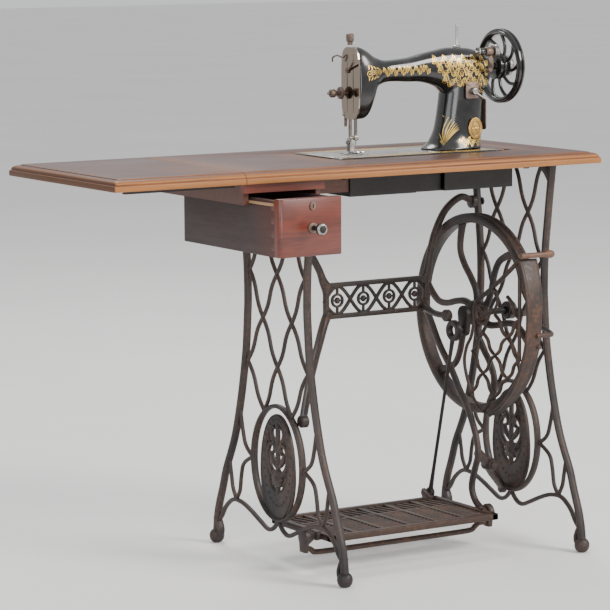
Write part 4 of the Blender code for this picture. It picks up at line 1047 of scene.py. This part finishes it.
class Gilding:
    """Gilt lines laid on a surface that is looked at along one axis."""

    def __init__(self, tree, look):
        self.tree, self.look = tree, Vector(look)
        self.points, self.faces = [], []

    def hit(self, u, v):
        start = at(u, v, 1100) if self.look.z else at(u, -200 * self.look.y, v)
        return self.tree.ray_cast(start, self.look)[:2]

    def line(self, points, width, taper=False):
        rows = []
        for u, v in points:
            place, normal = self.hit(u, v)
            if place is None or normal.dot(self.look) > -0.25:
                rows.append(None)
            else:
                rows.append((place, normal))
        run = []
        for row in rows + [None]:
            if row is not None:
                run.append(row)
                continue
            if len(run) > 2:
                self.ribbon(run, width, taper)
            run = []

    def ribbon(self, run, width, taper):
        count, base = len(run), len(self.points)
        for i, (place, normal) in enumerate(run):
            along = run[min(i + 1, count - 1)][0] - run[max(i - 1, 0)][0]
            side = along.cross(normal)
            side = side.normalized() if side.length > 1e-9 else normal.orthogonal().normalized()
            t = i / (count - 1)
            half = width * MM / 2 * (0.25 + 0.75 * sin(pi * t) if taper else 1)
            for s, h in ((-1, -0.15), (1, -0.15), (1, 0.13), (-1, 0.13)):
                self.points.append(place + side * s * half + normal * h * MM)
        for i in range(count - 1):
            for k in range(4):
                n = (k + 1) % 4
                a, b = base + 4 * i, base + 4 * (i + 1)
                self.faces.append((a + k, a + n, b + n, b + k))
        self.faces.append(tuple(base + k for k in (3, 2, 1, 0)))
        self.faces.append(tuple(base + 4 * (count - 1) + k for k in range(4)))

    def spiral(self, u, v, radius, turns, start, hand, width=0.9):
        points = []
        steps = int(26 * turns)
        for k in range(steps + 1):
            t = k / steps
            r = radius * (1 - t) ** 0.8 + 0.6
            a = radians(start) + hand * 2 * pi * turns * t
            points.append((u + r * cos(a), v + r * sin(a)))
        self.line(points, width)
        self.dot(u, v, 1.1)

    def leaf(self, u, v, length, heading, width=2.2, bend=0.5):
        a = radians(heading)
        points = []
        for k in range(9):
            t = k / 8
            turned = a + bend * t
            points.append((u + length * t * cos(turned), v + length * t * sin(turned)))
        self.line(points, width, True)

    def dot(self, u, v, radius):
        self.line([(u + radius * (k / 4 - 0.5), v) for k in range(5)], radius * 1.6, True)

    def vine(self, start, end, height, waves, width=1.0):
        """Waving stem from start to end with a curl and leaves in each bend."""
        (u0, v0), (u1, v1) = start, end
        length = hypot(u1 - u0, v1 - v0)
        du, dv = (u1 - u0) / length, (v1 - v0) / length
        heading = degrees(atan2(dv, du))

        def spot(s, off):
            return u0 + du * s - dv * off, v0 + dv * s + du * off

        stem = [spot(length * k / 120, height * 0.5 * sin(2 * pi * waves * k / 120)) for k in range(121)]
        self.line(stem, width)
        for k in range(2 * waves):
            s = length * (k + 0.5) / (2 * waves)
            side = 1 if k % 2 == 0 else -1
            radius = min(height * 0.42, length / (4.6 * waves))
            cu, cv = spot(s, side * (height * 0.5 - radius * 1.05))
            self.spiral(cu, cv, radius, 1.35, heading + 90 * side, -side, width * 0.75)
            for m, turn in enumerate((35, 70, 115, 150)):
                lu, lv = spot(s + (m - 1.5) * radius * 0.55, side * height * 0.42)
                self.leaf(lu, lv, height * 0.24, heading + side * turn, width * 1.3, 0.4 * side)

    def done(self, name, body):
        obj = closed_mesh(name, self.points, self.faces)
        obj.data.materials.append(GOLD)
        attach(obj, body)
        return obj


def gild_head():
    tree = surface(ARM)
    for name, look in (("front", AXIS_Y), ("back", (0, -1, 0))):
        art = Gilding(tree, look)
        art.vine((-50, 932), (62, 934), 15, 6, 1.0)
        art.vine((-50, 934), (62, 936), 11, 9, 0.6)
        for row, (low, high) in enumerate(((950, 948), (931, 931), (912, 911))):
            art.vine((66 + 12 * row, low), (194, high), 19, 6 - row, 1.1)
            art.vine((194, low - 4), (66 + 12 * row, high - 4), 15, 7 - row, 0.9)
        art.vine((170, 902), (192, 872), 12, 2, 1.0)
        for k in range(4):
            art.spiral(-84 + 8.6 * k, 931 + 2.4 * (k % 2), 6.2 - 0.5 * k, 1.5, 90 * k, 1 if k % 2 else -1, 1.2)
            art.leaf(-86 + 9 * k, 938, 9, 60 + 25 * k, 2.8)
            art.leaf(-86 + 9 * k, 926, 9, -60 - 25 * k, 2.8, -0.5)
        for k in range(9):
            art.leaf(88 + 1.6 * k, 786 + 1.5 * k, 62 - 4.2 * k, 98 - 5.5 * k, 2.0, -0.22)
        for k in range(6):
            art.leaf(90 + 2 * k, 800 + 8 * k, 16, 150 - 6 * k, 2.2, -0.5)
        art.vine((118, 790), (186, 790), 13, 4, 1.1)
        art.vine((186, 796), (126, 794), 12, 4, 0.9)
        art.done(f"arm_gilding_{name}", "head")
    bed_art = Gilding(surface(bpy.data.objects["bed_body"]), (0, 0, -1))
    bed_art.vine((-108, -66), (170, -66), 12, 10, 0.7)
    bed_art.vine((180, 82), (-170, 82), 11, 12, 0.7)
    for inset in (9.5, 12.0, 27.0):
        edge = outline(-182 + inset, 189 - inset, -82 + inset, 96 - inset, (5,) * 4, 6)
        dense = []
        for (a, b), (c, d) in zip(edge, edge[1:] + edge[:1]):
            steps = max(1, int(hypot(c - a, d - b) / 4))
            dense += [(a + (c - a) * k / steps, b + (d - b) * k / steps) for k in range(steps)]
        bed_art.line([p for p in dense if not (p[0] < -118 and abs(p[1]) < 48)] if inset < 20 else
                     [p for p in dense if p[0] > -110], 0.5)
    for k in range(6):
        bed_art.spiral(-40 + 18 * k, 56, 7, 1.3, 60 * k, 1 if k % 2 else -1, 0.9)
        bed_art.spiral(-40 + 18 * k, -44, 7, 1.3, 60 * k, -1 if k % 2 else 1, 0.9)
    bed_art.done("bed_gilding", "head")


gild_head()


def face_end():
    make = Builder()
    rings = []
    for x, inset in ((-104.6, 0.4), (-105.6, 0), (-106.6, 0.3), (-107.2, 1.2), (-107.5, 2.6)):
        rings.append([(x, u, v) for u, v in outline(-30 + inset, 32 - inset, 843 + inset, 981 - inset, (7,) * 4, 6)])
    make.rings(rings)
    border = outline(-26, 28, 847, 977, (5,) * 4, 6)
    make.sweep(across_x(-107.4, border), 0.8, 0.8, AXIS_X, closed=True)
    for u, half, raised in ((-17, 4.2, 1.0), (1, 7.0, 1.5), (19, 4.2, 1.0)):
        rib = [(-107.0, u, 852 + 6 * k) for k in range(21)]
        make.sweep(rib, [half * sin(pi * (0.12 + 0.76 * k / 20)) ** 0.4 for k in range(21)], raised,
                   AXIS_X)
    # Painted shade: thin dark strips laid on the plate in the gaps between the ribs stand for the shade in those
    # creases.
    groove_shade = Builder()
    for u in (-10, 11):
        groove_shade.sweep([(-107.4, u, 856), (-107.4, u, 912), (-107.4, u, 968)], [0.5, 1.5, 0.5], 0.45, AXIS_X)
    groove_shade.done("face_cover_groove_shade", IRON_DARK, "head", "worn_nickel")
    screws = Builder()
    for u, v in ((-22, 972), (24, 852)):
        screws.turned([(3.6, -107.3), (3.6, -108.8), (2.6, -109.5), (1, -109.6)], "X", (u, v), 28)
    screws.done("face_cover_screws", STEEL, "head", "steel")
    x, y = NEEDLE
    bar = Builder().turned([(2.4, 802), (3.2, 803), (3.2, 977), (2.6, 978)], "Z", NEEDLE, 28)
    bar.block((x - 4.5, y - 4.5, 803), (x + 4.5, y + 4.5, 812), 1.0)
    bar.turned([(1.6, -108), (2.6, -107), (2.6, -102)], "X", (y, 808), 20)
    bar.done("needle_bar_round", STEEL, "needle_unit", "steel", "needle_bar")
    Builder().turned([(0.12, 784.5), (0.5, 787), (0.8, 790), (0.8, 793), (1.1, 795), (1.1, 801.6)], "Z", NEEDLE, 16
                     ).done("needle_steel", STEEL, "needle_unit", "steel", "needle")
    presser = Builder().turned([(2.8, 806), (3.4, 807), (3.4, 975), (2.8, 976)], "Z", (x, 22), 28)
    presser.done("presser_bar_round", STEEL, "presser_unit", "steel", "presser_bar")
    foot = Builder()
    for side in (1, -1):
        toe = smooth([(x + side * 5, 15, 780), (x + side * 5, 4, 779.9), (x + side * 5, -8, 779.9),
                      (x + side * 5, -14, 781.6)], 5)
        foot.sweep(toe, 2.9, 0.9, AXIS_Z, SOFT)
    foot.block((x - 7.8, 8, 779), (x + 7.8, 18, 781), 0.7)
    foot.block((x - 4.5, 15.2, 780), (x + 4.5, 27, 805.6), 1.4)
    foot.turned([(2.6, x - 9.4), (3.8, x - 8.8), (3.8, x - 5.4), (2.6, x - 4.4)], "X", (21, 798), 20)
    foot.done("presser_foot_forged", NICKEL, "presser_unit", "nickel", "presser_foot")
    knob = Builder().turned([(5, 983.6), (5, 989), (6.6, 990.4), (7.5, 992), (7.5, 1002.4), (6.6, 1004.4),
        (4.4, 1005.8), (1, 1006)], "Z", (x, 22), 40, wobble=knurl(20, 0.02))
    knob.done("presser_screw_knob", NICKEL_WORN, "head", "worn_nickel", "presser_screw")
    lever = Builder().turned([(4, 35.2), (6, 35.6), (6, 39.4), (5, 40)], "Y", (x, 862), 28)
    lever.sweep(smooth([(x, 37.5, 862), (x + 0.5, 37.8, 850), (x + 0.2, 38, 838), (x, 38.2, 827)], 5),
                [4.2 - 1.4 * k / 15 for k in range(16)], 2.2, AXIS_Y, SOFT)
    lever.done("presser_lifter_arm", NICKEL_WORN, "lifter", "worn_nickel", "presser_lifter")
    take = Builder().turned([(3, -111.6), (5, -111), (5, -108.6), (4, -108)], "X", (8, 936), 28)
    take.sweep(smooth([(-110, 8, 936), (-113, -10, 944), (-120, -26, 952), (-123, -34, 955)], 6),
               [2.5 - 0.8 * k / 18 for k in range(19)])
    take.sweep([(-124, -37.5 + u, 956 + v) for u, v in ellipse((0, 0), 3, 3, 20)], 1.1, None, None, closed=True)
    take.done("take_up_arm", NICKEL_WORN, "take_up", "worn_nickel", "take_up_lever")
    discs = Builder().turned([(2.3, -146), (2.4, -121), (6, -120.4), (11, -119.6), (12, -118.6), (11, -118),
        (6, -117.4), (6, -117), (11, -116.6), (12, -115.8), (11, -115), (5.4, -114), (5, -110), (5, -108)], "X",
        (20, 893), 40)
    for k in range(5):
        discs.turned([(4.2, -127.6 + 1.5 * k), (4.8, -127.1 + 1.5 * k), (4.2, -126.6 + 1.5 * k)], "X", (20, 893), 28)
    discs.done("tension_stack", NICKEL_WORN, "head", "worn_nickel", "tension_discs")
    nut = Builder().turned([(3.2, -141), (5.6, -141), (7.4, -139.8), (8, -138), (8, -132), (7.4, -130.4), (5.6, -129.2),
                            (3.2, -129)], "X", (20, 893), 40, closed=True,
                           wobble=knurl(18, 0.018))
    nut.done("tension_thumb_nut", NICKEL_WORN, "tension_knob", "worn_nickel", "tension_nut")
    guide = Builder().sweep(smooth([(-109.5, 26, 960), (-118, 30, 964), (-124, 36, 960), (-122, 40, 952)], 8), 1.5,
                            None, None)
    guide.done("thread_guide_wire", NICKEL_WORN, "head", "worn_nickel", "thread_guide")


def pillar_fittings():
    front = -35.0
    plate = outline(135, 165, 875, 907, (4,) * 4, 6)
    make = Builder().slab(plate, "xz", front - 2.3, front - 0.3, 0.5)
    for u, v in ((139, 903), (161, 903), (139, 879)):
        make.turned([(1.8, front - 3.2), (2.4, front - 2.9), (2.4, front - 2.2)], "Y", (u, v), 20)
    make.done("stitch_index_plate", NICKEL_WORN, "head", "nickel", "stitch_plate")
    lever = Builder().turned([(3, front - 14), (6, front - 13.4), (7, front - 12), (7, front - 4), (6, front - 3)], "Y",
                             (150, 890), 32, wobble=knurl(14, 0.02))
    lever.sweep(smooth([(150, front - 10, 890), (158, front - 12, 883), (166, front - 13, 878)], 6),
                [2.6 - 0.5 * sin(pi * k / 12) for k in range(13)])
    lever.ball((166.5, front - 13, 877.6), 3.1)
    lever.done("stitch_lever_arm", NICKEL, "stitch_control", "nickel", "stitch_lever")
    badge = Builder()
    badge.rings([[(u, y, v) for u, v in ellipse((158, 817), 16 - inset, 21 - inset, 48)]
                 for y, inset in ((front - 0.2, 0.2), (front - 1.6, 0), (front - 2.2, 0.8), (front - 2.2, 2.0),
                                  (front - 1.7, 2.4), (front - 1.7, 6), (front - 2.1, 9))])
    badge.sweep([(u, front - 1.9, v) for u, v in ellipse((158, 817), 10.5, 15, 40)], 0.6, 0.5, AXIS_Y, closed=True)
    for k in range(8):
        a = pi * k / 4
        badge.sweep([(158 + r * cos(a), front - 2.1, 817 + 1.25 * r * sin(a)) for r in (2, 5, 8)],
                    [0.8, 1.7, 0.5], 0.6, AXIS_Y, SOFT)
    badge.ball((158, front - 1.9, 817), 2.6, (1, 0.5, 1))
    badge.done("badge_relief", BRASS, "head", "brass", "oval_badge")
    field = Builder().rings([[(u, y, v) for u, v in ellipse((158, 817), 9.8, 14.2, 40)]
                             for y in (front - 1.9, front - 1.2)])
    field.done("badge_field", IRON_RUST, "head", "brass")
    cover = Builder().slab(outline(-19, 21, 812, 872, (5,) * 4, 6), "yz", 194.4, 196.6, 0.7)
    for u, v in ((1, 818), (1, 866)):
        cover.turned([(2.8, 196.4), (2.8, 197.2), (2, 197.6)], "X", (u, v), 20)
    cover.done("pillar_cover_plate", NICKEL_WORN, "head", "worn_nickel", "pillar_cover")
    pin = Builder().turned([(3, 974.2), (7.6, 974.4), (8, 975.2), (8, 976.4), (6, 977.4), (3, 978.2), (2.2, 980),
                            (2.2, 1013), (2.6, 1015), (2.0, 1017), (0.8, 1017.9)], "Z", (139, 1), 32)
    pin.done("spool_pin_turning", STEEL, "head", "steel", "spool_pin")


def hand_wheel():
    rim = Builder().turned([(61, 243), (61.6, 240.6), (64, 237.4), (66.4, 236.2), (68.4, 237.2), (69.0, 238.6),
                            (70.6, 238.6), (72.4, 239.6), (73, 241.2), (73, 243), (70.4, 244.4), (70, 245.5),
                            (70.4, 246.6), (73, 248), (73, 250), (72.2, 252), (69.6, 254), (66.2, 255), (63, 254),
                            (61.4, 251.6)], "X", SHAFT, 96, closed=True)
    for k in range(9):
        line = smooth([(246, *polar(SHAFT, r, 40 * k + bend))
                       for r, bend in ((16, 0), (30, -4), (46, -14), (63, -28))], 6)
        rim.sweep(line, waist(line, 3.2, 1.4, 3), 3.0,
                  AXIS_X, SOFT)
    rim.turned([(11, 228), (24.6, 228.2), (26, 229.4), (26, 231.4), (24.4, 232.8), (22, 234), (22, 238),
        (24.6, 239.4), (26, 241), (26, 243), (24, 245), (19, 247.6), (16.4, 250), (15, 254), (14, 255.8), (8, 256)],
        "X", SHAFT, 64)
    rim.done("hand_wheel_casting", JAPAN, "balance_wheel", "black_japan", "hand_wheel")
    nut = Builder().turned([(12, 256.6), (18.6, 256.6), (20, 258), (20, 263), (18.8, 265.6), (16, 267.6), (11, 268.8),
                            (4, 269)], "X", SHAFT, 72, wobble=knurl(24, 0.012))
    nut.turned([(3, 268.6), (5, 268.8), (5, 269)], "X", SHAFT, 24)
    nut.done("clutch_nut_knurled", NICKEL, "clutch", "nickel", "clutch_nut")
    finish_node("main_shaft", STEEL, 0.4)


def winder():
    y, z = -48.0, 966.0
    strap = Builder().sweep(smooth([(186, -35, 925), (188, -43, 932), (185, -51, 945), (180, -51, 957)], 8), 5.0, 2.4,
                            (0, 1, 0.4), SOFT)
    strap.turned([(4.6, 172), (7.6, 172.2), (8.5, 173.4), (8.5, 186.6), (7.6, 187.8), (4.6, 188)], "X", (y, z), 40,
                 closed=True)
    strap.turned([(3, -46.6), (4.6, -46), (4.6, -42), (3, -41)], "Y", (187, 931), 20)
    strap.done("winder_strap", NICKEL_WORN, "winder", "worn_nickel", "winder_arm")
    spindle = Builder().turned([(2.2, 148), (3, 149), (3, 153.6), (8.2, 153.8), (9, 154.6), (9, 155.4),
        (8.2, 156.2), (3, 156.4), (3, 189.6), (12, 190), (13, 191.2), (11.4, 193.4), (11.2, 195.4), (13, 197.6),
        (12.2, 199), (5, 199.6), (3, 201), (3, 204.4), (2.2, 205)], "X", (y, z), 56)
    spindle.done("winder_pulley", NICKEL, "winder_wheel", "steel", "winder_spindle")
    cap = Builder().turned([(3.2, 157.4), (6, 158), (7, 160), (7, 168), (6, 170), (3.2, 170.6)], "X", (y, z), 40,
                           closed=True)
    cap.done("winder_cap", JAPAN, "winder_wheel", "steel")


face_end()
pillar_fittings()
hand_wheel()
winder()


# ---------------------------------------------------------------- floor, light and camera

def stage():
    floor = Nodes("floor_pale", 0.75)
    tone = floor.noise(1.3, 3, 0.5)
    grain = floor.noise(90, 3, 0.6)
    floor.colour(floor.ramp(tone, (0.3, (0.80, 0.795, 0.785)), (0.7, (0.84, 0.835, 0.825))))
    floor.bump(grain, 0.04, 0.0005)
    mesh = bpy.data.meshes.new("floor")
    bm = bmesh.new()
    bmesh.ops.create_grid(bm, x_segments=4, y_segments=4, size=30)
    bm.to_mesh(mesh)
    bm.free()
    mesh.materials.append(floor.material)
    plane = add("floor", mesh)
    plane.location = (0, 0, -0.0005)
    for name, place, size, power, tint in (("key", (2.4, -3.4, 3.0), 2.0, 210, (1.0, 0.97, 0.93)),
            ("fill", (-3.4, -2.2, 2.2), 2.8, 60, (0.93, 0.96, 1.0)), ("rim", (0.8, 2.8, 4.2), 2.0, 110,
            (1.0, 0.98, 0.96)), ("front", (-1.6, -4.8, 1.0), 2.0, 60, (1, 1, 1))):
        data = bpy.data.lights.new(name, "AREA")
        data.shape, data.size, data.energy, data.color = "DISK", size, power, tint
        light = add(name, data)
        light.location = place
        light.rotation_euler = (Vector((0, 0, 0.5)) - Vector(place)).to_track_quat("-Z", "Y").to_euler()
    world = bpy.data.worlds.new("studio")
    bpy.context.scene.world = world
    world.use_nodes = True
    background = world.node_tree.nodes["Background"]
    background.inputs["Color"].default_value = (0.93, 0.94, 0.95, 1)
    background.inputs["Strength"].default_value = 0.85


def camera():
    eye = Vector((-2925.5, -4636.6, 1235.6)) * MM
    forward = Vector((0.5244, 0.8409, -0.1335)).normalized()
    right = forward.cross(Vector(AXIS_Z)).normalized()
    up = right.cross(forward)
    roll = radians(-0.29)
    right, up = right * cos(roll) + up * sin(roll), up * cos(roll) - right * sin(roll)
    data = bpy.data.cameras.new("photo_view")
    data.lens, data.sensor_width = 172.25, 36
    data.clip_start, data.clip_end = 0.1, 100
    view = add("photo_view", data)
    view.matrix_world = Matrix((right, up, -forward)).transposed().to_4x4()
    view.location = eye
    bpy.context.scene.camera = view


stage()
camera()
